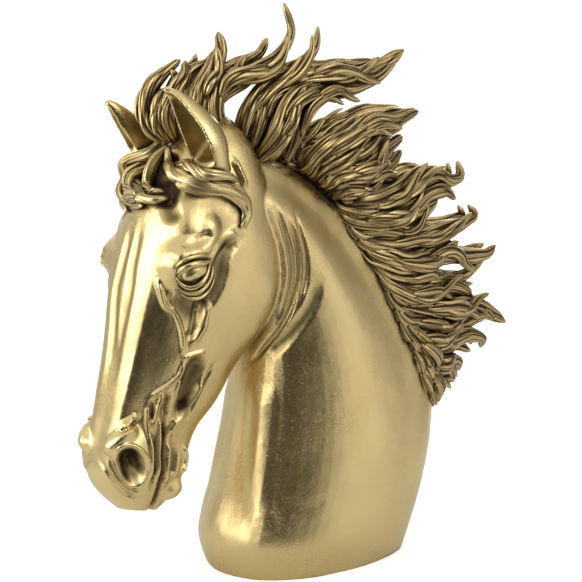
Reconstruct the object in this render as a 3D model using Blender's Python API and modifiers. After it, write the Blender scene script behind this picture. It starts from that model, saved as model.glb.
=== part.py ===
# Horse head statue: a cast horse's head and neck with a wind-blown mane, cut off flat below.
#
# The statue is one casting. It stands on its flat underside, and the origin is on that underside, below
# the middle of the neck. The horse faces -Y, its left side is +X, and +Z is up. Everything is worked out
# in units, each a 414th of the height, so the pose and the proportions are shares of one dimension.

import math

import bmesh
import bpy
import numpy as np
from mathutils import Matrix
from mathutils.bvhtree import BVHTree

HEIGHT = 0.420
UNITS_TALL = 414.0
UNIT = HEIGHT / UNITS_TALL

GOLD = (0.66, 0.50, 0.24, 1.0)
GOLD_ROUGHNESS = 0.32

SKIN_VOXEL = 1.6
WHOLE_VOXEL = 1.5
TRIANGLES = 9800
RELIEF_KEPT = 0.015
RING_POINTS = 56
LOCK_POINTS = 30
STRANDS = 5
LOCK_STEP = 3.0
LOCK_FLATNESS = 0.62
STRAND_DEPTH = 0.35
ROOT_DEPTH = 0.72
LOCK_STAGGER = 3.0
EAR_WALL = 3.0
EAR_GAP = 62.0
EAR_TURN = 0.12

# The relief and the locks are drawn on a square plate seen from the left front: 582 squares wide, x to
# the right and y down. A drawn point lies somewhere along its line of sight.
SIGHT_TURN = 36.0
SIGHT_RISE = 12.0
SIGHT_RANGE = 1700.0
SIGHT_TARGET = (0.0, -7.3, 203.0)
PLATE_MIDDLE = 291.0
SQUARES_PER_UNIT = 1.36

# The head has its own frame: x across, s down the face from the poll, t from the face towards the jaw.
POLL = (0.0, -105.0, 320.0)
FACE_TILT = 11.5
HEAD_TURN = 5.0
HEAD_LEAN = 0.1
TURN_PIVOT = (0.0, -70.0, 0.0)

# Half sections of the head, each (s, [(x, t), ...]) from the middle of the face round to the jaw.
HEAD_SECTIONS = [
    (-24, [(0, 20), (4, 21), (8, 24), (10, 29), (8, 33), (4, 36), (0, 37)]),
    (-14, [(0, 8), (10, 10), (18, 16), (22, 26), (20, 36), (12, 44), (0, 47)]),
    (12, [(0, -10), (16, -8), (29, 2), (34, 20), (35, 40), (24, 58), (0, 64)]),
    (40, [(0, -24), (18, -21), (31, -9), (37, 14), (39, 42), (30, 66), (0, 74)]),
    (70, [(0, -30), (21, -27), (36, -13), (41, 14), (43, 48), (33, 78), (0, 86)]),
    (100, [(0, -32), (20, -29.5), (33, -15), (41, 12), (43, 48), (32, 83), (0, 92)]),
    (125, [(0, -32), (19, -29.5), (29, -15), (36, 8), (38, 44), (27, 78), (0, 86)]),
    (150, [(0, -31.5), (18, -29), (26, -15), (32, 2), (32, 32), (20, 65), (0, 73)]),
    (178, [(0, -32), (17, -30), (23, -17), (27, -2), (25, 24), (16, 54), (0, 60)]),
    (200, [(0, -32.5), (16, -31), (21, -20), (24, -5), (21, 17), (13, 41), (0, 47)]),
    (218, [(0, -34), (15, -33), (26, -24), (26, -8), (21, 14), (14, 36), (0, 42)]),
    (235, [(0, -33), (12, -31), (20, -22), (24, -7), (21, 14), (14, 34), (0, 39)]),
    (245, [(0, -27), (9, -25), (15, -17), (19, -4), (18, 13), (12, 30), (0, 35)]),
    (253, [(0, -18), (7, -16), (12, -10), (15, 0), (14, 12), (10, 26), (0, 31)]),
    (260, [(0, -6), (5, -5), (9, -1), (11, 5), (10, 12), (7, 21), (0, 26)]),
]

# Sections of the neck: throat (y, z), crest (y, z), half width, and how full it is near the crest.
NECK_SECTIONS = [
    ((-66, -10), (84, -10), 50, 1.0),
    ((-73, 0), (88, 0), 54, 1.0),
    ((-79, 16), (93, 12), 57, 1.0),
    ((-69, 60), (112, 58), 55, 0.95),
    ((-59, 108), (121, 108), 51, 0.9),
    ((-54, 140), (113, 152), 47, 0.85),
    ((-50, 168), (92, 194), 43, 0.8),
    ((-52, 200), (61, 235), 40, 0.75),
    ((-62, 232), (22, 274), 37, 0.75),
    ((-78, 258), (-22, 301), 34, 0.8),
    ((-92, 280), (-70, 318), 26, 0.9),
]

# Ears from base to tip: plate x, plate y, x, half the breadth, half the depth, and how far it is
# hollowed.
EARS = [
    [(218, 174, 35, 10, 10, 0), (212, 163, 37, 12, 13, 0), (209, 155, 37, 13.5, 15, 0.6), (205, 145, 36, 14.5, 16, 1),
     (199, 132, 34, 13.5, 15.5, 1), (190, 118, 31, 11, 13, 1), (180, 104, 28, 7.5, 8.5, 1), (172, 95, 26, 4.5, 5, 0.8),
     (164, 88, 24, 2, 2.2, 0)],
    [(152, 168, -33, 9, 9, 0), (147, 158, -35, 10, 11, 0), (142, 150, -35.5, 11.5, 13, 0.6),
     (136, 141, -35.5, 12, 13.5, 1), (127, 128, -34, 10.5, 12, 1), (118, 116, -32.5, 7.5, 9, 1),
     (111, 107, -31.5, 4.5, 5.5, 0.8), (106, 102, -31, 2, 2.2, 0)],
]

# Relief of the head, the same on both sides: (lift, reach, [(plate x, plate y), ...]). Cuts have lifts
# below zero.
HEAD_RELIEF = [
    # Bone round the eye, the temple hollow, and the valley in front of the cheek.
    (10.0, 21, [(180, 264), (190, 268)]),
    (2.4, 9, [(172, 262), (178, 254), (187, 248), (199, 247), (210, 252)]),
    (5.5, 19, [(196, 210), (198, 228)]),
    (2.6, 10, [(210, 226), (208, 240)]),
    (2.6, 6, [(237, 231), (223, 242), (214, 253), (209, 262)]),
    (-6.0, 13, [(172, 206), (177, 218)]),
    (-4.0, 9, [(237, 238), (226, 247), (221, 258), (218, 275), (211, 292), (203, 304), (195, 312)]),
    (-3.0, 14, [(182, 304), (190, 312)]),
    # The eye: socket, ball, upper lid, its crease, lower lid, and two wrinkles under it.
    (-3.2, 11, [(184, 276), (192, 271), (200, 267)]),
    (5.0, 8, [(190, 272), (194, 270)]),
    (3.4, 3.4, [(175, 284), (178, 270), (187, 262), (198, 260), (210, 261)]),
    (-2.0, 3.0, [(173, 272), (182, 257), (197, 253), (212, 255)]),
    (2.4, 3.0, [(176, 286), (185, 286), (196, 281), (203, 272), (207, 262)]),
    (1.6, 2.6, [(177, 291), (189, 293), (200, 287), (208, 274), (211, 262)]),
    (1.4, 2.6, [(178, 297), (190, 301), (202, 297), (210, 288), (214, 274)]),
    # Veins from the inner corner of the eye down the side of the face.
    (1.6, 3.0, [(156, 275), (160, 289), (165, 305), (174, 312), (179, 322), (182, 335), (183, 357)]),
    (1.2, 2.6, [(177, 289), (174, 300), (175, 310)]),
    (1.5, 3.0, [(183, 357), (192, 356), (205, 353), (214, 350)]),
    (1.6, 3.0, [(184, 360), (179, 375), (174, 380), (164, 388), (155, 394), (149, 399)]),
    (1.4, 2.8, [(180, 377), (177, 393), (174, 411), (172, 424)]),
    # Front edge of the cheek, the hollow under it, and the folds that run to the corner of the mouth.
    (2.4, 4.5, [(209, 300), (205, 316), (203, 328), (198, 336), (192, 346)]),
    (-2.2, 5, [(200, 300), (197, 316), (193, 328), (188, 342)]),
    (-6.5, 9, [(194, 366), (188, 382), (182, 402)]),
    (2.4, 4, [(203, 378), (191, 400), (180, 415), (170, 428), (168, 440)]),
    (-1.4, 3, [(214, 364), (203, 385), (195, 402), (187, 417)]),
    (1.6, 3, [(149, 399), (147, 412), (147, 428), (149, 440), (151, 452), (151, 466), (150, 482)]),
    (1.4, 3, [(163, 390), (160, 402), (155, 417), (153, 430)]),
    (1.5, 3, [(160, 414), (159, 432), (160, 448), (159, 464), (157, 480)]),
    (-2.4, 3, [(168, 393), (166, 404), (165, 415)]),
    (-2.0, 2.8, [(151, 402), (152, 411), (150, 421)]),
    (-2.4, 2.8, [(154, 432), (155, 448), (155, 464), (153, 480), (151, 490)]),
    # Edge of the flat bridge of the nose, with the shallow groove inside it.
    (-0.9, 5, [(141, 225), (133, 262), (129, 292), (122, 325), (117, 353), (113, 380)]),
    # Nostril: pit, rim, the wing above it, and the folds round it.
    (-13.0, 10.5, [(129, 459), (133, 471)]),
    (2.6, 3.2, [(118, 460), (121, 451), (131, 447), (140, 452), (146, 461), (146, 472), (140, 482),
                (131, 484), (123, 476), (118, 460)]),
    (6.0, 9, [(112, 447), (121, 439), (128, 431)]),
    (-1.8, 3, [(119, 433), (128, 427), (137, 421)]),
    (1.6, 4, [(122, 427), (129, 421), (137, 415)]),
    (-1.3, 2.6, [(110, 456), (113, 468), (120, 480), (131, 490), (142, 491)]),
    (-1.1, 2.6, [(100, 459), (107, 471), (115, 483), (127, 495), (139, 498)]),
    # Chin and lower lip.
    (5.5, 10, [(171, 491), (174, 488)]),
    (-3.4, 6, [(174, 448), (173, 462), (171, 476)]),
    (2.0, 3.2, [(184, 446), (185, 459), (181, 474)]),
    (1.8, 3, [(168, 442), (167, 456), (166, 470), (165, 484)]),
    (2.4, 3.6, [(233, 160), (239, 171), (245, 187)]),
]

# The mouth, cut from its corner round to the middle of the lips: (x, s, t).
MOUTH = [(25, 184, -2), (25, 200, 3), (25, 218, 6), (24, 236, 10), (18, 251, 13), (8, 259, 14),
         (0, 262, 14)]
MOUTH_CUT = (-4.5, 3.8)

# Relief of the throat and the neck, drawn the same way.
NECK_RELIEF = [
    (-2.6, 4, [(276, 208), (284, 230), (289, 252), (291, 276), (287, 297), (279, 323)]),
    (-3.4, 4, [(287, 219), (296, 239), (299, 257), (299, 280), (294, 300), (282, 326), (263, 349),
               (247, 368)]),
    (-2.0, 3.4, [(295, 214), (302, 237), (306, 257), (305, 283), (299, 304)]),
    (-2.4, 7, [(319, 280), (311, 306), (293, 331), (268, 356)]),
    (2.4, 15, [(264, 380), (261, 430), (259, 480), (264, 540)]),
]

# Locks of the mane on the left side: width, then points (plate x, plate y, depth x) from root to tip.
NEAR_LOCKS = [
    (9, [(160, 142, -6), (149, 120, -8), (150, 98, -10), (161, 78, -12), (180, 60, -13)]),
    (12, [(176, 142, -4), (166, 112, -6), (174, 90, -8), (184, 73, -9), (185, 61, -10)]),
    (9, [(176, 124, -8), (182, 94, -8), (193, 74, -6), (208, 63, -4), (217, 50, -2)]),
    (11, [(200, 140, 2), (197, 112, 2), (202, 88, 1), (212, 66, 0), (219, 48, -1), (218, 32, -2)]),
    (11, [(224, 142, 8), (215, 112, 8), (217, 88, 6), (234, 72, 4), (252, 61, 2), (263, 52, 1),
          (267, 38, 0)]),
    (12, [(230, 138, 12), (222, 108, 12), (230, 86, 10), (256, 73, 8), (280, 56, 5), (292, 32, 2),
          (284, 3, 0)]),
    (11, [(240, 152, 10), (246, 112, 8), (259, 90, 6), (281, 74, 5), (303, 60, 3), (313, 46, 2),
          (318, 27, 0)]),
    (15, [(252, 155, 14), (264, 122, 14), (270, 100, 12), (292, 84, 10), (325, 74, 8), (360, 72, 5),
          (386, 64, 2), (403, 50, 0)]),
    (14, [(290, 162, 16), (299, 130, 14), (305, 110, 12), (322, 93, 10), (352, 87, 7), (380, 76, 3),
          (397, 60, 1)]),
    (12, [(262, 162, 20), (275, 137, 18), (285, 110, 15), (302, 93, 12), (330, 83, 8)]),
    (13, [(290, 170, 20), (318, 156, 18), (345, 138, 14), (368, 124, 10), (395, 117, 5), (418, 111, 0)]),
    (13, [(300, 178, 24), (328, 164, 22), (356, 150, 18), (382, 136, 12), (402, 124, 5)]),
    (13, [(308, 188, 26), (338, 178, 24), (366, 168, 18), (384, 152, 12), (402, 136, 3)]),
    (11, [(340, 188, 16), (366, 178, 10), (386, 166, 5), (401, 150, 0)]),
    (10, [(316, 198, 28), (345, 192, 24), (372, 187, 18), (388, 184, 12), (397, 177, 8)]),
    (12, [(326, 212, 28), (360, 206, 24), (392, 196, 18), (414, 181, 12), (434, 175, 8), (451, 181, 5),
          (460, 175, 2), (457, 161, 0)]),
    (11, [(334, 224, 28), (372, 220, 24), (404, 210, 18), (426, 194, 12), (442, 190, 8), (455, 199, 4)]),
    (10, [(342, 238, 28), (378, 232, 24), (408, 228, 18), (426, 216, 12), (437, 200, 8)]),
    (11, [(348, 248, 28), (384, 245, 24), (414, 241, 17), (442, 231, 10), (464, 222, 4), (474, 214, 1),
          (468, 205, 0)]),
    (12, [(356, 258, 28), (390, 259, 24), (420, 260, 17), (446, 252, 10), (468, 256, 5), (484, 253, 2),
          (495, 245, 0)]),
    (11, [(370, 268, 20), (400, 274, 10), (430, 282, 4), (452, 281, 0), (468, 275, -2), (483, 260, -2)]),
    (10, [(366, 274, 28), (398, 278, 24), (426, 275, 16), (446, 282, 8), (462, 286, 2)]),
    (11, [(374, 290, 28), (405, 293, 24), (430, 290, 16), (450, 286, 8), (463, 290, 4), (470, 297, 1)]),
    (14, [(382, 306, 27), (414, 307, 22), (442, 310, 14), (462, 307, 8), (480, 307, 3), (494, 314, 1),
          (505, 322, 0)]),
    (12, [(390, 324, 26), (416, 324, 21), (444, 326, 13), (468, 321, 6), (488, 315, 2)]),
    (12, [(397, 340, 25), (422, 339, 20), (448, 337, 12), (468, 335, 5), (480, 340, 1), (480, 347, 0)]),
    (10, [(403, 354, 22), (424, 353, 18), (444, 346, 10), (460, 346, 4), (470, 351, 0)]),
    (10, [(409, 368, 20), (428, 369, 15), (445, 361, 8), (456, 362, 3), (458, 370, 0)]),
    (10, [(415, 383, 16), (430, 383, 12), (444, 378, 6), (455, 378, 1)]),
    (9, [(420, 396, 12), (430, 397, 8), (437, 397, 3), (436, 405, 0)]),
]
# The far side repeats the locks below the first ones, a little shorter; the first ones have these instead.
FAR_FIRST = 10
FAR_SHORTER = 0.93
FAR_LOCKS = [
    (15, [(182, 152, -16), (183, 122, -16), (190, 98, -14), (199, 82, -12), (204, 70, -12)]),
    (15, [(206, 152, -14), (208, 120, -14), (220, 96, -12), (246, 80, -10), (268, 66, -8), (276, 52, -6)]),
    (15, [(252, 162, -12), (258, 128, -10), (268, 104, -8), (290, 90, -8), (320, 80, -8), (348, 78, -6)]),
    (16, [(276, 168, -14), (292, 136, -12), (302, 112, -10), (318, 98, -8), (345, 90, -6)]),
    (16, [(262, 170, -18), (300, 158, -18), (328, 138, -16), (354, 120, -14), (382, 112, -11),
          (403, 112, -8)]),
]

# The forelock: width, then points (plate x, plate y, lift off the skin) from root to tip.
FORELOCK = [
    (13, [(166, 138, 4), (150, 148, 8), (141, 164, 10), (132, 180, 10), (131, 193, 9), (141, 203, 7),
          (155, 205, 5), (167, 197, 4)]),
    (11, [(176, 144, 4), (160, 150, 7), (152, 162, 8), (144, 176, 8), (141, 188, 7), (148, 199, 5),
          (158, 202, 4), (170, 193, 3)]),
    (9, [(170, 148, 3), (176, 162, 6), (192, 168, 6), (209, 171, 5), (226, 174, 4), (238, 181, 3)]),
    (13, [(172, 158, 4), (180, 174, 6), (192, 182, 6), (206, 185, 6), (222, 187, 5), (236, 194, 4),
          (245, 206, 3), (245, 217, 3), (239, 228, 2)]),
    (9, [(176, 170, 4), (186, 186, 5), (202, 192, 5), (220, 192, 5), (234, 200, 4), (242, 212, 3),
         (240, 222, 2)]),
    (8, [(140, 176, 6), (128, 188, 8), (120, 196, 7), (119, 203, 5)]),
    (8, [(136, 190, 6), (130, 200, 6), (130, 212, 3)]),
]


def through(knots, values, at):
    """A smooth curve through the values at the knots, read at the places in at."""
    knots = np.asarray(knots, float)
    values = np.asarray(values, float)
    steps = np.diff(knots)
    slopes = np.diff(values, axis=0) / steps.reshape(-1, *[1] * (values.ndim - 1))
    middle = (slopes[:-1] * steps[1:].reshape(-1, *[1] * (values.ndim - 1))
              + slopes[1:] * steps[:-1].reshape(-1, *[1] * (values.ndim - 1)))
    middle /= (steps[1:] + steps[:-1]).reshape(-1, *[1] * (values.ndim - 1))
    tangents = np.concatenate([slopes[:1], middle, slopes[-1:]])
    at = np.clip(np.asarray(at, float), knots[0], knots[-1])
    left = np.clip(np.searchsorted(knots, at, side="right") - 1, 0, len(knots) - 2)
    width = steps[left]
    u = (at - knots[left]) / width
    shape = (-1, *[1] * (values.ndim - 1))
    u, width = u.reshape(shape), width.reshape(shape)
    return ((2 * u**3 - 3 * u**2 + 1) * values[left] + (u**3 - 2 * u**2 + u) * width * tangents[left]
            + (3 * u**2 - 2 * u**3) * values[left + 1] + (u**3 - u**2) * width * tangents[left + 1])


def smooth_line(points, count):
    """count points along a smooth line through the points, evenly spaced."""
    points = np.asarray(points, float)
    knots = np.concatenate([[0], np.cumsum(np.linalg.norm(np.diff(points, axis=0), axis=1))])
    return through(knots, points, np.linspace(0, knots[-1], count))


def closed_loop(half, count):
    """A smooth closed outline from half of it: (x, t) points from the front middle to the back middle."""
    half = np.asarray(half, float)
    other = half[-2:0:-1] * (-1, 1)
    loop = np.concatenate([half, other])
    wrapped = np.concatenate([loop[-3:], loop, loop[:4]])
    knots = np.concatenate([[0], np.cumsum(np.linalg.norm(np.diff(wrapped, axis=0), axis=1))])
    start, end = knots[3], knots[3 + len(loop)]
    return through(knots, wrapped, np.linspace(start, end, count, endpoint=False))


def head_point(points):
    """Points (x, s, t) of the head's frame, as points of the part's frame."""
    points = np.asarray(points, float).reshape(-1, 3)
    tilt = math.radians(FACE_TILT)
    down = np.array([0, -math.sin(tilt), -math.cos(tilt)])
    back = np.array([0, math.cos(tilt), -math.sin(tilt)])
    placed = np.array(POLL) + points[:, :1] * (1, 0, 0) + points[:, 1:2] * down + points[:, 2:] * back
    return turned(placed)


def sight():
    """The sight point, and the plate's right, up and forward directions."""
    turn, rise = math.radians(SIGHT_TURN), math.radians(SIGHT_RISE)
    back = np.array([math.cos(turn) * math.cos(rise), -math.sin(turn) * math.cos(rise), math.sin(rise)])
    right = np.cross(-back, (0, 0, 1))
    right /= np.linalg.norm(right)
    return np.array(SIGHT_TARGET) + back * SIGHT_RANGE, right, np.cross(right, -back), -back


def sight_line(x, y):
    """Where the line of sight through a plate point starts, and its direction."""
    start, right, up, forward = sight()
    reach = SIGHT_RANGE * SQUARES_PER_UNIT
    way = forward + right * ((x - PLATE_MIDDLE) / reach) - up * ((y - PLATE_MIDDLE) / reach)
    return start, way / np.linalg.norm(way)


def at_depth(points):
    """Drawn points (plate x, plate y, x) as points of the part's frame."""
    placed = []
    for px, py, x in points:
        start, way = sight_line(px, py)
        placed.append(start + way * ((x - start[0]) / way[0]))
    return np.array(placed)


def on_skin(tree, points):
    """Drawn points (plate x, plate y[, lift]) laid on the skin, or as near it as the line of sight gets."""
    placed = []
    for px, py, *lift in points:
        start, way = sight_line(px, py)
        hit, normal, _, _ = tree.ray_cast(tuple(start), tuple(way))
        if hit is None:
            along = np.linspace(SIGHT_RANGE - 160, SIGHT_RANGE + 160, 65)
            tried = [tree.find_nearest(tuple(start + way * a)) for a in along]
            hit, normal, _, _ = min(tried, key=lambda found: found[3])
        placed.append(np.array(hit) + np.array(normal) * (lift[0] if lift else 0))
    return np.array(placed)


def turned(points):
    """Points of the straight head leaned to its right side, then turned about an upright axis."""
    turn = np.array(Matrix.Rotation(math.radians(HEAD_TURN), 3, "Z"))
    leaned = points + points[:, :1] * (0, 0, HEAD_LEAN)
    return (leaned - TURN_PIVOT) @ turn.T + TURN_PIVOT


def across_head(points):
    """The same points on the other side of the turned head."""
    turn = np.array(Matrix.Rotation(math.radians(HEAD_TURN), 3, "Z"))
    straight = (points - TURN_PIVOT) @ turn + TURN_PIVOT
    straight = straight - straight[:, :1] * (0, 0, HEAD_LEAN)
    return turned(straight * (-1, 1, 1))


def head_rings(rows, count):
    stations = [s for s, _ in HEAD_SECTIONS]
    halves = np.array([half for _, half in HEAD_SECTIONS], float)
    rings = []
    for s in np.linspace(stations[0], stations[-1], rows):
        loop = closed_loop(through(stations, halves, [s])[0], count)
        rings.append(head_point([(x, s, t) for x, t in loop]))
    return rings


def neck_rings(rows, count):
    throats = np.array([n[0] for n in NECK_SECTIONS], float)
    crests = np.array([n[1] for n in NECK_SECTIONS], float)
    sizes = np.array([n[2:] for n in NECK_SECTIONS], float)
    middles = (throats + crests) / 2
    knots = np.concatenate([[0], np.cumsum(np.linalg.norm(np.diff(middles, axis=0), axis=1))])
    at = np.linspace(0, knots[-1], rows)
    rings = []
    for throat, crest, (half_width, full) in zip(
            through(knots, throats, at), through(knots, crests, at), through(knots, sizes, at)):
        shares = [(0, 0), (0.6, 0.07), (0.92, 0.24), (1, 0.47)]
        shares += [(0.9 * full, 0.72), (0.56 * full, 0.92), (0, 1)]
        depth = np.linalg.norm(crest - throat)
        along = (crest - throat) / depth
        loop = closed_loop([(half_width * w, depth * q) for w, q in shares], count)
        across, deep = loop[:, 0], loop[:, 1]
        rings.append(np.column_stack([across, throat[0] + deep * along[0], throat[1] + deep * along[1]]))
    return rings


def ear_rings(drawn, rows, count):
    """A rolled leaf, open in front: each ring runs round its back and returns inside its hollow."""
    drawn = np.array(drawn, float)
    knots = np.arange(len(drawn))
    at = np.linspace(0, knots[-1], rows)
    centres = through(knots, at_depth(drawn[:, :3]), at)
    sizes = through(knots, drawn[:, 3:], at)
    ways = np.gradient(centres, axis=0)
    ways /= np.linalg.norm(ways, axis=1)[:, None]
    gap = math.radians(EAR_GAP)
    share = np.linspace(0, 1, count // 2, endpoint=False)
    rings = []
    for centre, way, (breadth, depth, hollow) in zip(centres, ways, sizes):
        hollow = min(1, max(0, hollow))
        front = np.array([EAR_TURN * np.sign(drawn[0, 2]), -1.0, 0.0])
        front -= way * (way @ front)
        front /= np.linalg.norm(front)
        across = np.cross(way, front)
        back = gap + share * 2 * (math.pi - gap)
        outer = np.column_stack([depth * np.cos(back), breadth * np.sin(back)])
        deep = (2 * math.pi - gap) - share * 2 * (math.pi - gap)
        shut = (2 * math.pi - gap) + share * 2 * gap
        wall = EAR_WALL * (0.6 + 0.4 * np.sin(math.pi * share))
        scooped = np.column_stack([(depth - wall) * np.cos(deep), (breadth - wall) * np.sin(deep)])
        filled = np.column_stack([depth * np.cos(shut), breadth * np.sin(shut)])
        loop = np.concatenate([outer, hollow * scooped + (1 - hollow) * filled])
        rings.append(centre + loop[:, :1] * front + loop[:, 1:] * across)
    return rings


def lock_rings(points, width, turns, strands, count):
    """A lock of hair: a flattened tapering tube through the points, with strands that wind along it."""
    rows = max(10, int(path_length(points) / LOCK_STEP))
    path = smooth_line(points, rows)
    share = np.linspace(0, 1, rows)
    half = width / 2 * through([0, 0.15, 0.45, 0.75, 0.92, 1], [0.5, 0.9, 1, 0.76, 0.5, 0.27], share)
    ways = np.gradient(path, axis=0)
    ways /= np.linalg.norm(ways, axis=1)[:, None]
    angles = np.linspace(0, 2 * math.pi, count, endpoint=False)
    rings = []
    for centre, way, wide, u in zip(path, ways, half, share):
        side = np.array([1.0, 0, 0]) - way * way[0]
        side /= np.linalg.norm(side)
        broad = np.cross(way, side)
        roll = turns * (u - 0.5)
        grooves = (1 - np.abs(np.sin(strands * (angles + roll * 1.5) / 2))) ** 2
        reach = 1 - STRAND_DEPTH * grooves * min(1, wide / 4)
        flat = wide * LOCK_FLATNESS + 0.5
        across = np.cos(roll) * broad + np.sin(roll) * side
        out = np.cos(roll) * side - np.sin(roll) * broad
        rings.append(centre + (wide * reach * np.cos(angles))[:, None] * across
                     + (flat * reach * np.sin(angles))[:, None] * out)
    return rings


def mane_paths():
    """Every lock of the mane as (width, points of the part's frame)."""
    locks = [(width, at_depth(points)) for width, points in NEAR_LOCKS + FAR_LOCKS]
    for width, points in NEAR_LOCKS[FAR_FIRST:]:
        near = at_depth(points) * (-1, 1, 1)
        locks.append((width, near[0] + (near - near[0]) * FAR_SHORTER))
    for i, (_, points) in enumerate(locks):
        points[0, 0] *= ROOT_DEPTH
        points[1:-1, 0] += np.sign(points[1, 0]) * LOCK_STAGGER * (1, -1, 0)[i % 3]
    return locks


def hair_lofts(tree):
    lofts = []
    for i, (width, points) in enumerate(mane_paths()):
        lofts.append(lock_rings(points, width, (-1) ** i * 0.7, STRANDS, LOCK_POINTS))
    for i, (width, points) in enumerate(FORELOCK):
        lofts.append(lock_rings(on_skin(tree, points), width, (-1) ** i * 0.5, STRANDS, LOCK_POINTS))
    return lofts


def add_loft(mesh, rings):
    """Adds a closed tube through the rings to a bmesh, with a cap at each end."""
    rows = [[mesh.verts.new(tuple(p * UNIT)) for p in ring] for ring in rings]
    count = len(rows[0])
    for lower, upper in zip(rows, rows[1:]):
        for i in range(count):
            j = (i + 1) % count
            mesh.faces.new((lower[i], lower[j], upper[j], upper[i]))
    mesh.faces.new(rows[0][::-1])
    mesh.faces.new(rows[-1])


def fused(lofts, voxel, base=None):
    """One skin round all the lofts, and round the base mesh if there is one."""
    mesh = bmesh.new()
    for rings in lofts:
        add_loft(mesh, rings)
    bmesh.ops.recalc_face_normals(mesh, faces=mesh.faces)
    if base:
        mesh.from_mesh(base)
    rough = bpy.data.meshes.new("rough")
    mesh.to_mesh(rough)
    mesh.free()
    return evaluated(rough, [("REMESH", {"mode": "VOXEL", "voxel_size": voxel * UNIT}),
                             ("SMOOTH", {"factor": 0.5, "iterations": 2})])


def evaluated(mesh, modifiers):
    """The mesh as the modifiers leave it."""
    source = bpy.data.objects.new("rough", mesh)
    bpy.context.scene.collection.objects.link(source)
    for kind, settings in modifiers:
        modifier = source.modifiers.new(kind.title(), kind)
        for name, value in settings.items():
            setattr(modifier, name, value)
    graph = bpy.context.evaluated_depsgraph_get()
    made = bpy.data.meshes.new_from_object(source.evaluated_get(graph))
    bpy.data.objects.remove(source)
    return made


def coordinates(mesh):
    points = np.empty(len(mesh.vertices) * 3)
    mesh.vertices.foreach_get("co", points)
    return points.reshape(-1, 3) / UNIT


def skin_tree(mesh):
    faces = [tuple(face.vertices) for face in mesh.polygons]
    return BVHTree.FromPolygons([tuple(p) for p in coordinates(mesh)], faces)


def relief_paths(tree):
    """Every line of relief as (lift, reach, points on the skin)."""
    paths = []
    for lift, reach, drawn in HEAD_RELIEF:
        near = on_skin(tree, drawn)
        paths.append((lift, reach, near))
        paths.append((lift, reach, snapped(tree, across_head(near))))
    for lift, reach, drawn in NECK_RELIEF:
        near = on_skin(tree, drawn)
        paths.append((lift, reach, near))
        paths.append((lift, reach, snapped(tree, near * (-1, 1, 1))))
    mouth = MOUTH + [(-x, s, t) for x, s, t in MOUTH[-2::-1]]
    paths.append((*MOUTH_CUT, snapped(tree, head_point(mouth))))
    return paths


def snapped(tree, points):
    return np.array([tree.find_nearest(tuple(p))[0] for p in points])


def path_length(path):
    return np.linalg.norm(np.diff(path, axis=0), axis=1).sum()


def close_to(points, path, reach):
    """Which points are close to a path, how far from it they are, and their share of the way along it."""
    line = smooth_line(path, max(3, int(path_length(path) / 1.5)))
    inside = np.all((points > line.min(0) - reach) & (points < line.max(0) + reach), axis=1)
    near = np.flatnonzero(inside)
    gaps = np.linalg.norm(points[near, None] - line[None], axis=2)
    nearest = gaps.argmin(axis=1)
    return near, gaps[np.arange(len(near)), nearest], nearest / (len(line) - 1)


def carve(mesh, paths):
    """Raises or cuts the skin along the paths."""
    points = coordinates(mesh)
    normals = np.empty(len(points) * 3)
    mesh.vertices.foreach_get("normal", normals)
    normals = normals.reshape(-1, 3)
    moved = np.zeros(len(points))
    for lift, reach, path in paths:
        near, gap, share = close_to(points, path, reach)
        open_ended = np.linalg.norm(path[0] - path[-1]) > 1 and path_length(path) > 3 * reach
        ends = np.clip(np.minimum(share, 1 - share) / 0.15, 0.15, 1) if open_ended else 1
        moved[near] += lift * ends * np.clip(1 - (gap / reach) ** 2, 0, 1) ** 2
    points += normals * moved[:, None]
    mesh.vertices.foreach_set("co", (points * UNIT).ravel())
    mesh.update()


def thinned(mesh, paths):
    """The mesh with few enough triangles, of which the relief keeps more than the plain skin."""
    points = coordinates(mesh)
    kept = np.zeros(len(points), bool)
    for _, reach, path in paths:
        near, gap, _ = close_to(points, path, reach)
        kept[near[gap < reach]] = True
    triangles = sum(len(face.vertices) - 2 for face in mesh.polygons)
    source = bpy.data.objects.new("whole", mesh)
    bpy.context.scene.collection.objects.link(source)
    group = source.vertex_groups.new(name="Plain skin")
    group.add([int(i) for i in np.flatnonzero(~kept)], 1.0, "REPLACE")
    group.add([int(i) for i in np.flatnonzero(kept)], 0.4, "REPLACE")
    thin = source.modifiers.new("Fewer triangles", "DECIMATE")
    thin.ratio = TRIANGLES / triangles
    thin.use_collapse_triangulate = True
    thin.vertex_group = group.name
    thin.vertex_group_factor = RELIEF_KEPT
    graph = bpy.context.evaluated_depsgraph_get()
    made = bpy.data.meshes.new_from_object(source.evaluated_get(graph))
    bpy.data.objects.remove(source)
    return made


def largest_body(mesh):
    """Leaves only the biggest closed body of a mesh."""
    body = bmesh.new()
    body.from_mesh(mesh)
    unseen = set(body.verts)
    groups = []
    while unseen:
        stack = [unseen.pop()]
        group = list(stack)
        while stack:
            for edge in stack.pop().link_edges:
                for vert in edge.verts:
                    if vert in unseen:
                        unseen.remove(vert)
                        group.append(vert)
                        stack.append(vert)
        groups.append(group)
    groups.sort(key=len)
    for group in groups[:-1]:
        bmesh.ops.delete(body, geom=group, context="VERTS")
    body.to_mesh(mesh)
    body.free()
    return mesh


def gold():
    material = bpy.data.materials.new("antique gold")
    material.use_nodes = True
    shader = material.node_tree.nodes["Principled BSDF"]
    shader.inputs["Base Color"].default_value = GOLD
    shader.inputs["Metallic"].default_value = 1.0
    shader.inputs["Roughness"].default_value = GOLD_ROUGHNESS
    return material


def collection(name):
    made = bpy.data.collections.new(name)
    bpy.context.scene.collection.children.link(made)
    return made


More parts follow.
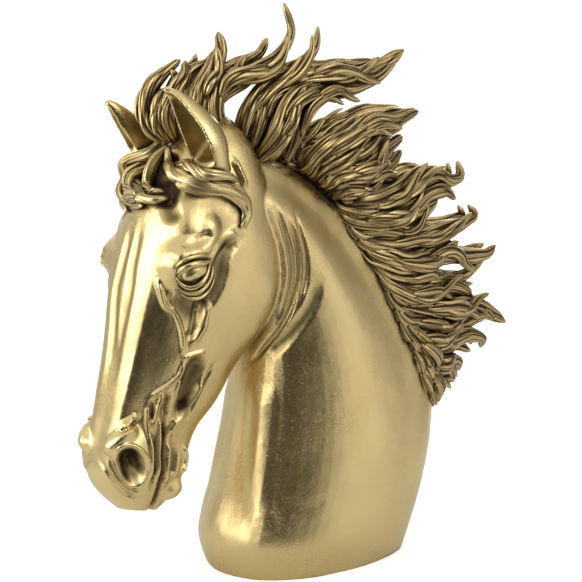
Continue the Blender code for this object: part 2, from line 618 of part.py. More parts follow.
def underside_cutter(cutters):
    """A block whose top is the plane the statue stands on."""
    mesh = bpy.data.meshes.new("underside cutter")
    block = bmesh.new()
    bmesh.ops.create_cube(block, size=0.4)
    bmesh.ops.translate(block, verts=block.verts, vec=(0, 0, -0.2))
    block.to_mesh(mesh)
    block.free()
    cutter = bpy.data.objects.new("underside cutter", mesh)
    cutter.hide_render = True
    cutter.display_type = "WIRE"
    cutters.objects.link(cutter)
    return cutter


def clear_scene():
    for old in list(bpy.data.objects):
        bpy.data.objects.remove(old)


def main():
    clear_scene()
    lofts = [head_rings(80, RING_POINTS), neck_rings(80, RING_POINTS)]
    lofts += [ear_rings(ear, 30, 40) for ear in EARS]
    skin = largest_body(fused(lofts, SKIN_VOXEL))
    tree = skin_tree(skin)
    paths = relief_paths(tree)
    carve(skin, paths)
    whole = largest_body(fused(hair_lofts(tree), WHOLE_VOXEL, skin))
    statue = bpy.data.objects.new("horse_head", largest_body(thinned(whole, paths)))
    statue.data.materials.append(gold())
    collection("horse_statue").objects.link(statue)
    cut = statue.modifiers.new("Flat underside", "BOOLEAN")
    cut.operation = "DIFFERENCE"
    cut.solver = "EXACT"
    cut.object = underside_cutter(collection("cutters"))
    return statue


if __name__ == "__main__":
    main()
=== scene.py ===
"""Horse head statue: the fine skin, mane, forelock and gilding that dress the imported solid."""

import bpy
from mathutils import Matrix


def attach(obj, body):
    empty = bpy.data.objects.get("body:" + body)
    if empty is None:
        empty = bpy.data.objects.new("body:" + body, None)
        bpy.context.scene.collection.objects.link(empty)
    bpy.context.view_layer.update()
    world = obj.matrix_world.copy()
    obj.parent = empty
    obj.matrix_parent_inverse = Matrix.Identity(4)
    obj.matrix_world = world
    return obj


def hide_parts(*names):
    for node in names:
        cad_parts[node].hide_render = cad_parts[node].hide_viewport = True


bl_info = {
    "name": "Horse head statue",
    "version": (1, 0, 0),
    "blender": (4, 5, 0),
    "location": "3D View > Sidebar > Statue",
    "description": "Builds a gilded horse head with a wind-blown mane round the packed solid",
    "category": "Add Mesh",
}

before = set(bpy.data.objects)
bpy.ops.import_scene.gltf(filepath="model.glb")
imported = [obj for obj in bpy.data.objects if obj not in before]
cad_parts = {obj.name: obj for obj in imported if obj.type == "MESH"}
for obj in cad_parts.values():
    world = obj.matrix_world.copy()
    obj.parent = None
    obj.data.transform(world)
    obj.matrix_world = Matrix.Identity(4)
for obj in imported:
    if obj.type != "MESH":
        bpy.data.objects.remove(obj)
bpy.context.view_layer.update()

import math
import random
from contextlib import contextmanager
from functools import cache

import bmesh
import bpy
import numpy as np
from bpy.props import FloatProperty, FloatVectorProperty, IntProperty, PointerProperty
from mathutils import Matrix, Vector, noise
from mathutils.bvhtree import BVHTree

UNITS_TALL = 414.0
HEIGHT = 0.420
UNIT = HEIGHT / UNITS_TALL

# Lengths are in model units where no unit is given. Angles are in degrees, but in radians for the fan of
# directions and the eyeball.

# How many rings the head and the neck have, with the points of each ring, and the same for an ear.
SKIN_RINGS = 110
RING_POINTS = 56
EAR_RINGS = 44
EAR_POINTS = 60
# Thickness of an ear's wall, half the angle that its front stays open, and how much the opening faces
# outwards for each unit that it faces forwards.
EAR_WALL = 3.6
EAR_GAP = 62.0
EAR_TURN = 0.12
# Grain of the skin that locks and eyes are laid on.
COARSE_VOXEL = 1.6
# Relief narrower than this reach is made deeper this many times.
FINE_REACH = 4.2
FINE_LIFT = 1.5
# Share of a long line of relief over which it fades at each end, down to the same share of its lift.
RELIEF_ENDS = 0.15
# Distance between the places where a line of relief is read.
RELIEF_STEP = 1.5
# Thinning of the skin: how near a line of relief it keeps more triangles, how much plain skin and relief
# are thinned, and how strongly that counts.
RELIEF_MARGIN = 6
PLAIN_WEIGHT = 1.0
RELIEF_WEIGHT = 0.5
RELIEF_KEPT = 0.02
# Unevenness of the skin, each (size of its forms, share of its height, where in the noise).
UNEVEN_FORMS = [(26, 1.0, 3.1), (9, 0.3, 7.7)]
# Times that the rims of the ears are smoothed.
EAR_SMOOTHINGS = 4
# Depth at which a hollow is full of wax, a dark mark that is partly the casting's patina and partly painted
# shade; then points along an ear's cup, its reach and the painted shade inside it, and the far ear's share of
# it.
SUNK_FULL = 4.0
CUP_POINTS = 60
CUP_REACH = 16.0
CUP_SHADE = 0.5
FAR_CUP = 0.4

# Roots of the top locks lie at this share of their drawn depth, and neighbours stand out or in by turns.
ROOT_DEPTH = 0.72
LOCK_STAGGER = 3.0
STAGGER = (1, -1, 0)
# A lock's thickness as a share of its breadth, and its breadth as a share of its drawn width.
LOCK_FLATNESS = 0.62
LOCK_FULLNESS = 1.65
# Where a side lock lies on the skin before its root: plate x and y from the root, and lift.
COMBED_LEAD = [(2, -22, 0.2), (10, -8, 1.0)]
# Locks between two others: places along them, and their depth and width for those of the two.
BETWEEN_POINTS = 12
BETWEEN_DEPTH = 0.7
BETWEEN_WIDTH = 0.45
# How many locks of the left side are in its upper piece.
LEFT_SPLIT = 10
# Distance between the rings of a lock, then the same on the hidden right side, the fewest rings of a lock
# and of a wisp, and the points of a wisp's ring.
ROW_STEP = 3.0
FAR_ROW_STEP = 3.9
LOCK_RINGS = 12
WISP_RINGS = 10
WISP_POINTS = 8
# The half width of a lock, and of a wisp, at these shares of the way along it.
TAPER_AT = [0, 0.12, 0.4, 0.7, 0.88, 0.97, 1]
TAPER = [0.3, 0.75, 1, 0.82, 0.5, 0.32, 0.1]
WISP_TAPER_AT = [0, 0.25, 0.6, 0.9, 1]
WISP_TAPER = [0.15, 0.9, 1, 0.5, 0.12]
WISP_GROOVE = 0.05
# Grooves of a lock, coarse to fine: the least number, number for its width, depth, and sharpness.
STRAND_FAMILIES = [(3, 0.17, 0.6, 2.8), (6, 0.45, 0.5, 1.7), (9, 0.95, 0.32, 1.25)]
POINTS_PER_STRAND = 4
# How far the side that a lock turns outwards leans back, and the same for a wisp.
LOCK_LEAN = 0.1
WISP_LEAN = 0.2
# At how many places a lock is read to lay smaller ones along it, and how far those curl away.
LINE_POINTS = 40
FLICK_BEND = 13.0
# Gaps in the mane that stay open: plate places, the distance kept free, and the width of a lock at its
# edge.
MANE_GAPS = [(236, 98), (234, 108), (231, 118), (318, 116), (326, 108)]
GAP_REACH = 4.0
GAP_WIDTH = 2.0

# How far out a point of a lock, or of the skin, is looked from to find out how deep in a hollow it lies,
# which gives it dark wax that is partly patina and partly painted shade; the directions, straight out and
# then leaning out, turned round the normal; and where a look starts.
HOLLOW_REACH = 10.0
SKIN_HOLLOW_REACH = 16.0
FAN_TURNS = (None, 0.6, 2.7, 4.8)
FAN_LEAN = 0.75
FAN_LIFT = 0.35
# How fast the bright wear of the ridges, partly rubbed gilding and partly painted highlight, falls off with
# the depth of a groove, and of a hollow.
GROOVE_DULL = 1.8
HOLLOW_DULL = 1.6
# Noise of the gilding, each (scale in 1/m, detail, roughness), and the height of its grain in metres.
CLOUDS = (22.0, 3.0, 0.5)
SPECKLE = (420.0, 5.0, 0.6)
GRAIN = (1500.0, 3.0, 0.6)
GRAIN_DEPTH = 0.0004
# Each finish: its gold, the wax in hollows and in grooves, which is partly patina and partly painted shade,
# the wear of ridges, which is partly rubbed gilding and partly painted highlight, how much rougher than the
# satin gold it is, and the strength of its grain.
FINISHES = {
    "skin gold": ("gold", 1.4, 1.0, 0.35, 0.0, 0.4),
    "forelock gold": ("gold", 1.3, 0.9, 0.8, 0.02, 0.3),
    "hair gold": ("warm_gold", 1.6, 1.7, 0.5, 0.03, 0.3),
}

# The stage, in metres: sides of the floor, and the lights' directions, distance and size.
FLOOR_SIDE = 20.0
FLOOR_FRONT = 0.36
FLOOR_RIGHT = 0.4
KEY_LIGHT = ((-0.03, -0.96, 0.25), 0.75, (0.8, 0.4))
TOP_LIGHT = ((0.864, 0.184, 0.469), 1.4, (0.7, 0.7))
RIM_LIGHT = ((-0.62, 0.78, 0.10), 1.4, (0.7, 1.2))
# Where the room is darker or lighter in reflections: direction, cosine of the angle to it where that
# starts and where it is full, and the level there.
ROOM = [
    ((0.93, -0.35, -0.08), 0.63, 0.85, 0.02),
    ((-0.10, 0.99, 0.20), 0.64, 0.96, 0.38),
    ((0.76, 0.59, -0.22), 0.80, 0.97, 1.25),
    ((-0.75, -0.63, -0.17), 0.72, 0.93, 0.55),
]
DARK_ROOM = (0.02, 0.014, 0.008)
LIGHT_ROOM = (1, 0.99, 0.97)

# The relief and the locks are drawn on a square plate seen from the left front: 582 squares wide, x to
# the right and y down. A drawn point lies somewhere along its line of sight, and one that misses the skin
# is put where that line comes nearest to it, within the sight depth.
SIGHT_TURN = 36.0
SIGHT_RISE = 12.0
SIGHT_RANGE = 1700.0
SIGHT_TARGET = (0.0, -7.3, 203.0)
SIGHT_DEPTH = 160.0
SIGHT_STEPS = 65
PLATE_MIDDLE = 291.0
SQUARES_PER_UNIT = 1.36

# The head has its own frame: x across, s down the face from the poll, t from the face towards the jaw.
POLL = (0.0, -105.0, 320.0)
FACE_TILT = 11.5
HEAD_TURN = 5.0
HEAD_LEAN = 0.1
TURN_PIVOT = (0.0, -70.0, 0.0)

# Half sections of the head, each (s, [(x, t), ...]) from the middle of the face round to the jaw.
HEAD_SECTIONS = [
    (-24, [(0, 20), (4, 21), (8, 24), (10, 29), (8, 33), (4, 36), (0, 37)]),
    (-14, [(0, 8), (10, 10), (18, 16), (22, 26), (20, 36), (12, 44), (0, 47)]),
    (12, [(0, -10), (16, -8), (29, 2), (34, 20), (35, 40), (24, 58), (0, 64)]),
    (40, [(0, -24), (18, -21), (31, -9), (37, 14), (39, 42), (30, 66), (0, 74)]),
    (70, [(0, -30), (21, -27), (36, -13), (41, 14), (43, 48), (33, 78), (0, 86)]),
    (100, [(0, -32), (20, -29.5), (33, -15), (41, 12), (43, 48), (32, 83), (0, 92)]),
    (125, [(0, -32), (19, -29.5), (29, -15), (36, 8), (38, 44), (27, 78), (0, 86)]),
    (150, [(0, -31.5), (18, -29), (26, -15), (32, 2), (32, 32), (20, 65), (0, 73)]),
    (178, [(0, -32), (17, -30), (23, -17), (27, -2), (25, 24), (16, 54), (0, 60)]),
    (200, [(0, -32.5), (16, -31), (21, -20), (24, -5), (21, 17), (13, 41), (0, 47)]),
    (218, [(0, -34), (15, -33), (26, -24), (26, -8), (21, 14), (14, 36), (0, 42)]),
    (235, [(0, -33), (12, -31), (20, -22), (24, -7), (21, 14), (14, 34), (0, 39)]),
    (245, [(0, -27), (9, -25), (15, -17), (19, -4), (18, 13), (12, 30), (0, 35)]),
    (253, [(0, -18), (7, -16), (12, -10), (15, 0), (14, 12), (10, 26), (0, 31)]),
    (260, [(0, -6), (5, -5), (9, -1), (11, 5), (10, 12), (7, 21), (0, 26)]),
]

# Sections of the neck: throat (y, z), crest (y, z), half width, and how full it is near the crest.
NECK_SECTIONS = [
    ((-66, -10), (84, -10), 50, 1.0),
    ((-73, 0), (88, 0), 54, 1.0),
    ((-79, 16), (93, 12), 57, 1.0),
    ((-69, 60), (112, 58), 55, 0.95),
    ((-59, 108), (121, 108), 51, 0.9),
    ((-54, 140), (113, 152), 47, 0.85),
    ((-50, 168), (92, 194), 43, 0.8),
    ((-52, 200), (61, 235), 40, 0.75),
    ((-62, 232), (22, 274), 37, 0.75),
    ((-78, 258), (-22, 301), 34, 0.8),
    ((-92, 280), (-70, 318), 26, 0.9),
]

# Half outline of the neck from the throat back, each (share of the half width, share of the depth). The
# second list also narrows with how full the section is near the crest.
NECK_FRONT = [(0, 0), (0.6, 0.07), (0.92, 0.24), (1, 0.47)]
NECK_BACK = [(0.9, 0.72), (0.56, 0.92)]

# Ears from base to tip: plate x, plate y, x, half the breadth, half the depth, and how far it is
# hollowed.
EARS = [
    [(218, 174, 35, 10, 10, 0), (212, 163, 37, 12, 13, 0), (209, 155, 37, 13.5, 15, 0.6),
     (205, 145, 36, 14.5, 16, 1), (199, 132, 34, 13.5, 15.5, 1), (190, 118, 31, 11, 13, 1),
     (180, 104, 28, 7.5, 8.5, 1), (172, 95, 26, 4.5, 5, 0.8), (164, 88, 24, 2, 2.2, 0)],
    [(152, 168, -33, 9, 9, 0), (147, 158, -35, 10, 11, 0), (142, 150, -35.5, 11.5, 13, 0.6),
     (136, 141, -35.5, 12, 13.5, 1), (127, 128, -34, 10.5, 12, 1), (118, 116, -32.5, 7.5, 9, 1),
     (111, 107, -31.5, 4.5, 5.5, 0.8), (106, 102, -31, 2, 2.2, 0)],
]

# Relief of the head, the same on both sides: (lift, reach, [(plate x, plate y), ...]). Cuts have lifts
# below zero.
HEAD_RELIEF = [
    # Bone round the eye, the temple hollow, and the valley in front of the cheek.
    (10.0, 21, [(180, 264), (190, 268)]),
    (2.4, 9, [(172, 262), (178, 254), (187, 248), (199, 247), (210, 252)]),
    (4.2, 27, [(193, 228), (201, 230)]),
    (-1.6, 5, [(179, 247), (193, 243), (208, 233)]),
    (2.6, 10, [(210, 226), (208, 240)]),
    (2.6, 6, [(237, 231), (223, 242), (214, 253), (209, 262)]),
    (-4.0, 9, [(168, 202), (172, 214)]),
    (-4.0, 9, [(237, 238), (226, 247), (221, 258), (218, 275), (211, 292), (203, 304), (195, 312)]),
    (-3.0, 14, [(182, 304), (190, 312)]),
    # Socket of the eye.
    (-3.2, 11, [(184, 276), (192, 271), (200, 267)]),
    # Veins from the inner corner of the eye down the side of the face.
    (1.6, 3.0, [(156, 275), (160, 289), (165, 305), (174, 312), (179, 322), (182, 335), (183, 357)]),
    (1.2, 2.6, [(177, 289), (174, 300), (175, 310)]),
    (1.1, 2.6, [(184, 359), (191, 355), (198, 353), (206, 351)]),
    (1.6, 3.0, [(184, 360), (179, 375), (174, 380), (164, 388), (155, 394), (149, 399)]),
    (1.4, 2.8, [(180, 377), (177, 393), (174, 411), (172, 424)]),
    # Front edge of the cheek, the hollow under it, and the folds that run to the corner of the mouth.
    (2.4, 4.5, [(209, 300), (205, 316), (203, 328), (198, 336), (192, 346)]),
    (-2.2, 5, [(200, 300), (197, 316), (193, 328), (188, 342)]),
    (-6.5, 11, [(196, 368), (189, 384), (182, 404)]),
    (2.4, 4, [(203, 378), (191, 400), (180, 415), (170, 428), (168, 440)]),
    (-1.4, 3, [(214, 364), (203, 385), (195, 402), (187, 417)]),
    (1.6, 3, [(149, 399), (147, 412), (147, 428), (149, 440), (151, 452), (151, 466), (150, 482)]),
    (1.4, 3, [(163, 390), (160, 402), (155, 417), (153, 430)]),
    (1.5, 3, [(160, 414), (159, 432), (160, 448), (159, 464), (157, 480)]),
    (-2.4, 3, [(168, 393), (166, 404), (165, 415)]),
    (-2.0, 2.8, [(151, 402), (152, 411), (150, 421)]),
    (-2.4, 2.8, [(154, 432), (155, 448), (155, 464), (153, 480), (151, 490)]),
    # Edge of the flat bridge of the nose, with the shallow groove inside it.
    (-1.8, 6, [(141, 225), (133, 262), (129, 292), (122, 325), (117, 353), (113, 380)]),
    # A deep cut under the forelock; the dark wax that its depth brings there is painted shade.
    (-8.0, 15, [(165, 166), (166, 190)]),
    # Nostril: pit, rim, the wing above it, and the folds round it.
    (-13.0, 10.5, [(129, 459), (133, 471)]),
    (2.6, 3.2, [(118, 460), (121, 451), (131, 447), (140, 452), (146, 461), (146, 472), (140, 482),
                (131, 484), (123, 476), (118, 460)]),
    (6.0, 9, [(112, 447), (121, 439), (128, 431)]),
    (-1.8, 3, [(119, 433), (128, 427), (137, 421)]),
    (1.6, 4, [(122, 427), (129, 421), (137, 415)]),
    (-1.3, 2.6, [(110, 456), (113, 468), (120, 480), (131, 490), (142, 491)]),
    (-1.1, 2.6, [(100, 459), (107, 471), (115, 483), (127, 495), (139, 498)]),
    # Chin and lower lip.
    (5.5, 10, [(171, 491), (174, 488)]),
    (-3.4, 6, [(174, 448), (173, 462), (171, 476)]),
    (2.0, 3.2, [(184, 446), (185, 459), (181, 474)]),
    (1.8, 3, [(168, 442), (167, 456), (166, 470), (165, 484)]),
    (2.4, 3.6, [(233, 160), (239, 171), (245, 187)]),
]

# The mouth, cut from its corner round to the middle of the lips: (x, s, t).
MOUTH = [(25, 184, -2), (25, 200, 3), (25, 218, 6), (24, 236, 10), (18, 251, 13), (8, 259, 14),
         (0, 262, 14)]
MOUTH_CUT = (-4.5, 3.8)

# Relief of the throat and the neck, drawn the same way.
NECK_RELIEF = [
    (-1.3, 3.4, [(276, 208), (284, 230), (289, 252), (291, 276), (287, 297), (279, 323)]),
    (-1.8, 3.4, [(287, 219), (296, 239), (299, 257), (299, 280), (294, 300), (282, 326), (263, 349),
               (247, 368)]),
    (-1.1, 3, [(295, 214), (302, 237), (306, 257), (305, 283), (299, 304)]),
    (-1.8, 7, [(319, 280), (311, 306), (293, 331), (268, 356)]),
    (2.4, 15, [(264, 380), (261, 430), (259, 480), (264, 540)]),
]

# Locks of the mane on the left side: width, then points (plate x, plate y, depth x) from root to tip.
NEAR_LOCKS = [
    (9, [(160, 142, -6), (149, 120, -8), (150, 98, -10), (161, 78, -12), (180, 60, -13)]),
    (12, [(176, 142, -4), (166, 112, -6), (174, 90, -8), (184, 73, -9), (185, 61, -10)]),
    (9, [(176, 124, -8), (182, 94, -8), (193, 74, -6), (208, 63, -4), (217, 50, -2)]),
    (11, [(200, 140, 2), (197, 112, 2), (202, 88, 1), (212, 66, 0), (219, 48, -1), (218, 32, -2)]),
    (11, [(224, 142, 8), (215, 112, 8), (217, 88, 6), (234, 72, 4), (252, 61, 2), (263, 52, 1),
          (267, 38, 0)]),
    (13, [(226, 138, 12), (215, 108, 12), (222, 84, 10), (254, 72, 8), (279, 56, 5), (291, 32, 2),
          (284, 3, 0)]),
    (11, [(240, 152, 10), (246, 112, 8), (259, 90, 6), (281, 74, 5), (303, 60, 3), (313, 46, 2),
          (318, 27, 0)]),
    (15, [(252, 155, 14), (264, 122, 14), (270, 100, 12), (292, 84, 10), (325, 74, 8), (360, 72, 5),
          (386, 64, 2), (403, 50, 0)]),
    (14, [(290, 162, 16), (299, 130, 14), (305, 110, 12), (322, 93, 10), (352, 87, 7), (380, 76, 3),
          (397, 60, 1)]),
    (12, [(262, 162, 20), (275, 137, 18), (285, 110, 15), (302, 93, 12), (330, 83, 8)]),
    (13, [(290, 170, 20), (318, 156, 18), (345, 138, 14), (368, 124, 10), (395, 117, 5), (418, 111, 0)]),
    (13, [(300, 178, 24), (328, 164, 22), (356, 150, 18), (382, 136, 12), (402, 124, 5)]),
    (13, [(308, 188, 26), (338, 178, 24), (366, 168, 18), (384, 152, 12), (402, 136, 3)]),
    (11, [(340, 188, 16), (366, 178, 10), (386, 166, 5), (401, 150, 0)]),
    (10, [(316, 198, 28), (345, 192, 24), (372, 187, 18), (388, 184, 12), (397, 177, 8)]),
    (12, [(326, 212, 28), (360, 206, 24), (392, 196, 18), (414, 181, 12), (434, 175, 8), (451, 181, 5),
          (460, 175, 2), (457, 161, 0)]),
    (11, [(334, 224, 28), (372, 220, 24), (404, 210, 18), (426, 194, 12), (442, 190, 8), (455, 199, 4)]),
    (10, [(342, 238, 28), (378, 232, 24), (408, 228, 18), (426, 216, 12), (437, 200, 8)]),
    (11, [(348, 248, 28), (384, 245, 24), (414, 241, 17), (442, 231, 10), (464, 222, 4), (474, 214, 1),
          (468, 205, 0)]),
    (12, [(356, 258, 28), (390, 259, 24), (420, 260, 17), (446, 252, 10), (468, 256, 5), (484, 253, 2),
          (495, 245, 0)]),
    (11, [(370, 268, 20), (400, 274, 10), (430, 282, 4), (452, 281, 0), (468, 275, -2), (483, 260, -2)]),
    (10, [(366, 274, 28), (398, 278, 24), (426, 275, 16), (446, 282, 8), (462, 286, 2)]),
    (11, [(374, 290, 28), (405, 293, 24), (430, 290, 16), (450, 286, 8), (463, 290, 4), (470, 297, 1)]),
    (14, [(382, 306, 27), (414, 307, 22), (442, 310, 14), (462, 307, 8), (480, 307, 3), (494, 314, 1),
          (505, 322, 0)]),
    (12, [(390, 324, 26), (416, 324, 21), (444, 326, 13), (468, 321, 6), (488, 315, 2)]),
    (12, [(397, 340, 25), (422, 339, 20), (448, 337, 12), (468, 335, 5), (480, 340, 1), (480, 347, 0)]),
    (10, [(403, 354, 22), (424, 353, 18), (444, 346, 10), (460, 346, 4), (470, 351, 0)]),
    (16, [(406, 352, 22), (426, 359, 16), (442, 362, 9), (453, 357, 3)]),
    (10, [(409, 368, 20), (428, 369, 15), (445, 361, 8), (456, 362, 3), (458, 370, 0)]),
    (15, [(412, 368, 20), (426, 374, 15), (439, 375, 9), (449, 371, 3)]),
    (10, [(415, 383, 16), (430, 383, 12), (444, 378, 6), (455, 378, 1)]),
    (13, [(417, 386, 16), (427, 391, 11), (435, 391, 6), (441, 386, 2)]),
    (9, [(420, 396, 12), (430, 397, 8), (437, 397, 3), (436, 405, 0)]),
]
# The far side repeats the locks below the first ones, a little shorter; the first ones have these instead.
FAR_FIRST = 10
FAR_SHORTER = 0.93
FAR_LOCKS = [
    (15, [(182, 152, -16), (183, 122, -16), (190, 98, -14), (199, 82, -12), (204, 70, -12)]),
    (15, [(206, 152, -14), (208, 120, -14), (220, 96, -12), (246, 80, -10), (268, 66, -8), (276, 52, -6)]),
    (15, [(252, 162, -12), (258, 128, -10), (268, 104, -8), (290, 90, -8), (320, 80, -8), (348, 78, -6)]),
    (16, [(276, 168, -14), (292, 136, -12), (302, 112, -10), (318, 98, -8), (345, 90, -6)]),
    (16, [(262, 170, -18), (300, 158, -18), (328, 138, -16), (354, 120, -14), (382, 112, -11),
          (403, 112, -8)]),
]

# Lids and wrinkles of the eye: width, then points (plate x, plate y, lift off the skin).
EYE_FOLDS = [
    (4.8, [(176, 275, 0.2), (180, 268.5, 1.6), (186, 264.5, 2.4), (194, 262.3, 2.8), (203, 261.5, 2.4),
           (211, 259.5, 0.6)]),
    (3.2, [(174, 269, 0), (181, 262, 0.9), (190, 257.3, 1.2), (201, 255, 0.9), (210, 253, 0)]),
    (3.8, [(176, 277, 0.2), (181, 283.5, 1.4), (188, 286.3, 1.8), (195.5, 285, 1.8), (202, 279.5, 1.6),
           (206.5, 271, 1.4), (209, 262, 0.4)]),
    (3.4, [(176, 283, 0), (182, 290, 0.8), (190, 292.3, 1), (199, 290.5, 1), (206.5, 283, 1), (211, 272, 0.8),
           (213, 263, 0)]),
    (3.2, [(178, 290, -0.2), (186, 296.5, 0.6), (195, 298, 0.6), (204, 294.5, 0.6), (211, 286, 0.5),
           (215, 276, -0.2)]),
]
EYE_CORNERS = ((178, 278), (208, 264))
EYE_RADII = (10.0, 6.6, 5.2)
EYE_SUNK = 3.0
EYE_RINGS = 40
EYE_POINTS = 48
EYE_POLE = 0.02
# Dents round the eyeball's front, the edge of the iris and the pupil: depth for the radius, angle, breadth.
EYE_DENTS = [(0.03, 0.62, 0.07), (0.05, 0, 0.20)]

# The forelock: width, then points (plate x, plate y, lift off the skin) from root to tip.
FORELOCK = [
    (12, [(160, 138, 4), (147, 150, 8), (136, 165, 10), (127, 180, 10), (126, 194, 9), (134, 204, 7),
          (147, 208, 5)]),
    (12, [(168, 140, 4), (156, 152, 8), (147, 166, 9), (138, 180, 9), (138, 192, 8), (146, 201, 7),
          (157, 205, 5), (168, 199, 4)]),
    (9, [(170, 148, 3), (160, 160, 5), (154, 173, 6), (152, 185, 5), (157, 195, 4), (166, 194, 3)]),
    (9, [(170, 148, 3), (176, 162, 6), (192, 168, 6), (209, 171, 5), (226, 174, 4), (238, 181, 3)]),
    (13, [(172, 158, 4), (180, 174, 6), (192, 182, 6), (206, 185, 6), (222, 187, 5), (236, 194, 4),
          (245, 206, 3), (245, 217, 3), (239, 228, 2)]),
    (9, [(176, 170, 4), (186, 186, 5), (202, 192, 5), (220, 192, 5), (234, 200, 4), (242, 212, 3),
         (240, 222, 2)]),
    (20, [(164, 144, 2), (150, 158, 3), (142, 172, 3), (139, 187, 2), (145, 199, 1)]),
    (8, [(140, 176, 6), (128, 188, 8), (120, 196, 7), (119, 203, 5)]),
    (8, [(136, 190, 6), (130, 200, 6), (130, 212, 3)]),
]


def through(knots, values, at):
    """A smooth curve through the values at the knots, read at the places in at."""
    knots = np.asarray(knots, float)
    values = np.asarray(values, float)
    shape = (-1, *[1] * (values.ndim - 1))
    steps = np.diff(knots)
    spans = steps.reshape(shape)
    slopes = np.diff(values, axis=0) / spans
    middle = (slopes[:-1] * spans[1:] + slopes[1:] * spans[:-1]) / (spans[1:] + spans[:-1])
    tangents = np.concatenate([slopes[:1], middle, slopes[-1:]])
    at = np.clip(np.asarray(at, float), knots[0], knots[-1])
    left = np.clip(np.searchsorted(knots, at, side="right") - 1, 0, len(knots) - 2)
    width = steps[left]
    u = (at - knots[left]) / width
    u, width = u.reshape(shape), width.reshape(shape)
    return ((2 * u**3 - 3 * u**2 + 1) * values[left] + (u**3 - 2 * u**2 + u) * width * tangents[left]
            + (3 * u**2 - 2 * u**3) * values[left + 1] + (u**3 - u**2) * width * tangents[left + 1])


def knots_of(points):
    """How far along the line through them each of the points is."""
    return np.concatenate([[0], np.cumsum(np.linalg.norm(np.diff(points, axis=0), axis=1))])


def smooth_line(points, count):
    """count points along a smooth line through the points, evenly spaced."""
    points = np.asarray(points, float)
    knots = knots_of(points)
    return through(knots, points, np.linspace(0, knots[-1], count))


def directions(path):
    """The direction of a path at each of its points."""
    ways = np.gradient(path, axis=0)
    return ways / np.linalg.norm(ways, axis=1)[:, None]


def unit(way):
    return way / np.linalg.norm(way)


def closed_loop(half, count):
    """A smooth closed outline from half of it: (x, t) points from the front middle to the back middle."""
    half = np.asarray(half, float)
    other = half[-2:0:-1] * (-1, 1)
    loop = np.concatenate([half, other])
    wrapped = np.concatenate([loop[-3:], loop, loop[:4]])
    knots = knots_of(wrapped)
    start, end = knots[3], knots[3 + len(loop)]
    return through(knots, wrapped, np.linspace(start, end, count, endpoint=False))


def head_point(points):
    """Points (x, s, t) of the head's frame, as points of the part's frame."""
    points = np.asarray(points, float).reshape(-1, 3)
    tilt = math.radians(FACE_TILT)
    down = np.array([0, -math.sin(tilt), -math.cos(tilt)])
    back = np.array([0, math.cos(tilt), -math.sin(tilt)])
    placed = np.array(POLL) + points[:, :1] * (1, 0, 0) + points[:, 1:2] * down + points[:, 2:] * back
    return turned(placed)


def sight():
    """The sight point, and the plate's right, up and forward directions."""
    turn, rise = math.radians(SIGHT_TURN), math.radians(SIGHT_RISE)
    back = np.array([math.cos(turn) * math.cos(rise), -math.sin(turn) * math.cos(rise), math.sin(rise)])
    right = unit(np.cross(-back, (0, 0, 1)))
    return np.array(SIGHT_TARGET) + back * SIGHT_RANGE, right, np.cross(right, -back), -back


def sight_line(x, y):
    """Where the line of sight through a plate point starts, and its direction."""
    start, right, up, forward = sight()
    reach = SIGHT_RANGE * SQUARES_PER_UNIT
    way = forward + right * ((x - PLATE_MIDDLE) / reach) - up * ((y - PLATE_MIDDLE) / reach)
    return start, unit(way)


def at_depth(points):
    """Drawn points (plate x, plate y, x) as points of the part's frame."""
    placed = []
    for px, py, x in points:
        start, way = sight_line(px, py)
        placed.append(start + way * ((x - start[0]) / way[0]))
    return np.array(placed)


def on_skin(tree, points):
    """Drawn points (plate x, plate y[, lift]) laid on the skin, or as near it as the line of sight gets."""
    placed = []
    for px, py, *lift in points:
        start, way = sight_line(px, py)
        hit, normal, _, _ = tree.ray_cast(tuple(start), tuple(way))
        if hit is None:
            along = np.linspace(SIGHT_RANGE - SIGHT_DEPTH, SIGHT_RANGE + SIGHT_DEPTH, SIGHT_STEPS)
            tried = [tree.find_nearest(tuple(start + way * a)) for a in along]
            hit, normal, _, _ = min(tried, key=lambda found: found[3])
        placed.append(np.array(hit) + np.array(normal) * (lift[0] if lift else 0))
    return np.array(placed)


def head_turn():
    return np.array(Matrix.Rotation(math.radians(HEAD_TURN), 3, "Z"))


def turned(points):
    """Points of the straight head leaned to its right side, then turned about an upright axis."""
    leaned = points + points[:, :1] * (0, 0, HEAD_LEAN)
    return (leaned - TURN_PIVOT) @ head_turn().T + TURN_PIVOT


def across_head(points):
    """The same points on the other side of the turned head."""
    straight = (points - TURN_PIVOT) @ head_turn() + TURN_PIVOT
    straight = straight - straight[:, :1] * (0, 0, HEAD_LEAN)
    return turned(mirrored(straight))


def head_rings():
    """Rings of the head from the poll to the tip of the lips."""
    stations = [s for s, _ in HEAD_SECTIONS]
    halves = np.array([half for _, half in HEAD_SECTIONS], float)
    rings = []
    for s in np.linspace(stations[0], stations[-1], SKIN_RINGS):
        loop = closed_loop(through(stations, halves, [s])[0], RING_POINTS)
        rings.append(head_point([(x, s, t) for x, t in loop]))
    return rings


def neck_rings():
    """Rings of the neck from its foot to the poll."""
    throats = np.array([n[0] for n in NECK_SECTIONS], float)
    crests = np.array([n[1] for n in NECK_SECTIONS], float)
    sizes = np.array([n[2:] for n in NECK_SECTIONS], float)
    knots = knots_of((throats + crests) / 2)
    at = np.linspace(0, knots[-1], SKIN_RINGS)
    rings = []
    for throat, crest, (half_width, full) in zip(
            through(knots, throats, at), through(knots, crests, at), through(knots, sizes, at)):
        shares = NECK_FRONT + [(share * full, deep) for share, deep in NECK_BACK] + [(0, 1)]
        depth = np.linalg.norm(crest - throat)
        along = (crest - throat) / depth
        loop = closed_loop([(half_width * w, depth * q) for w, q in shares], RING_POINTS)
        across, deep = loop[:, 0], loop[:, 1]
        rings.append(np.column_stack([across, throat[0] + deep * along[0], throat[1] + deep * along[1]]))
    return rings


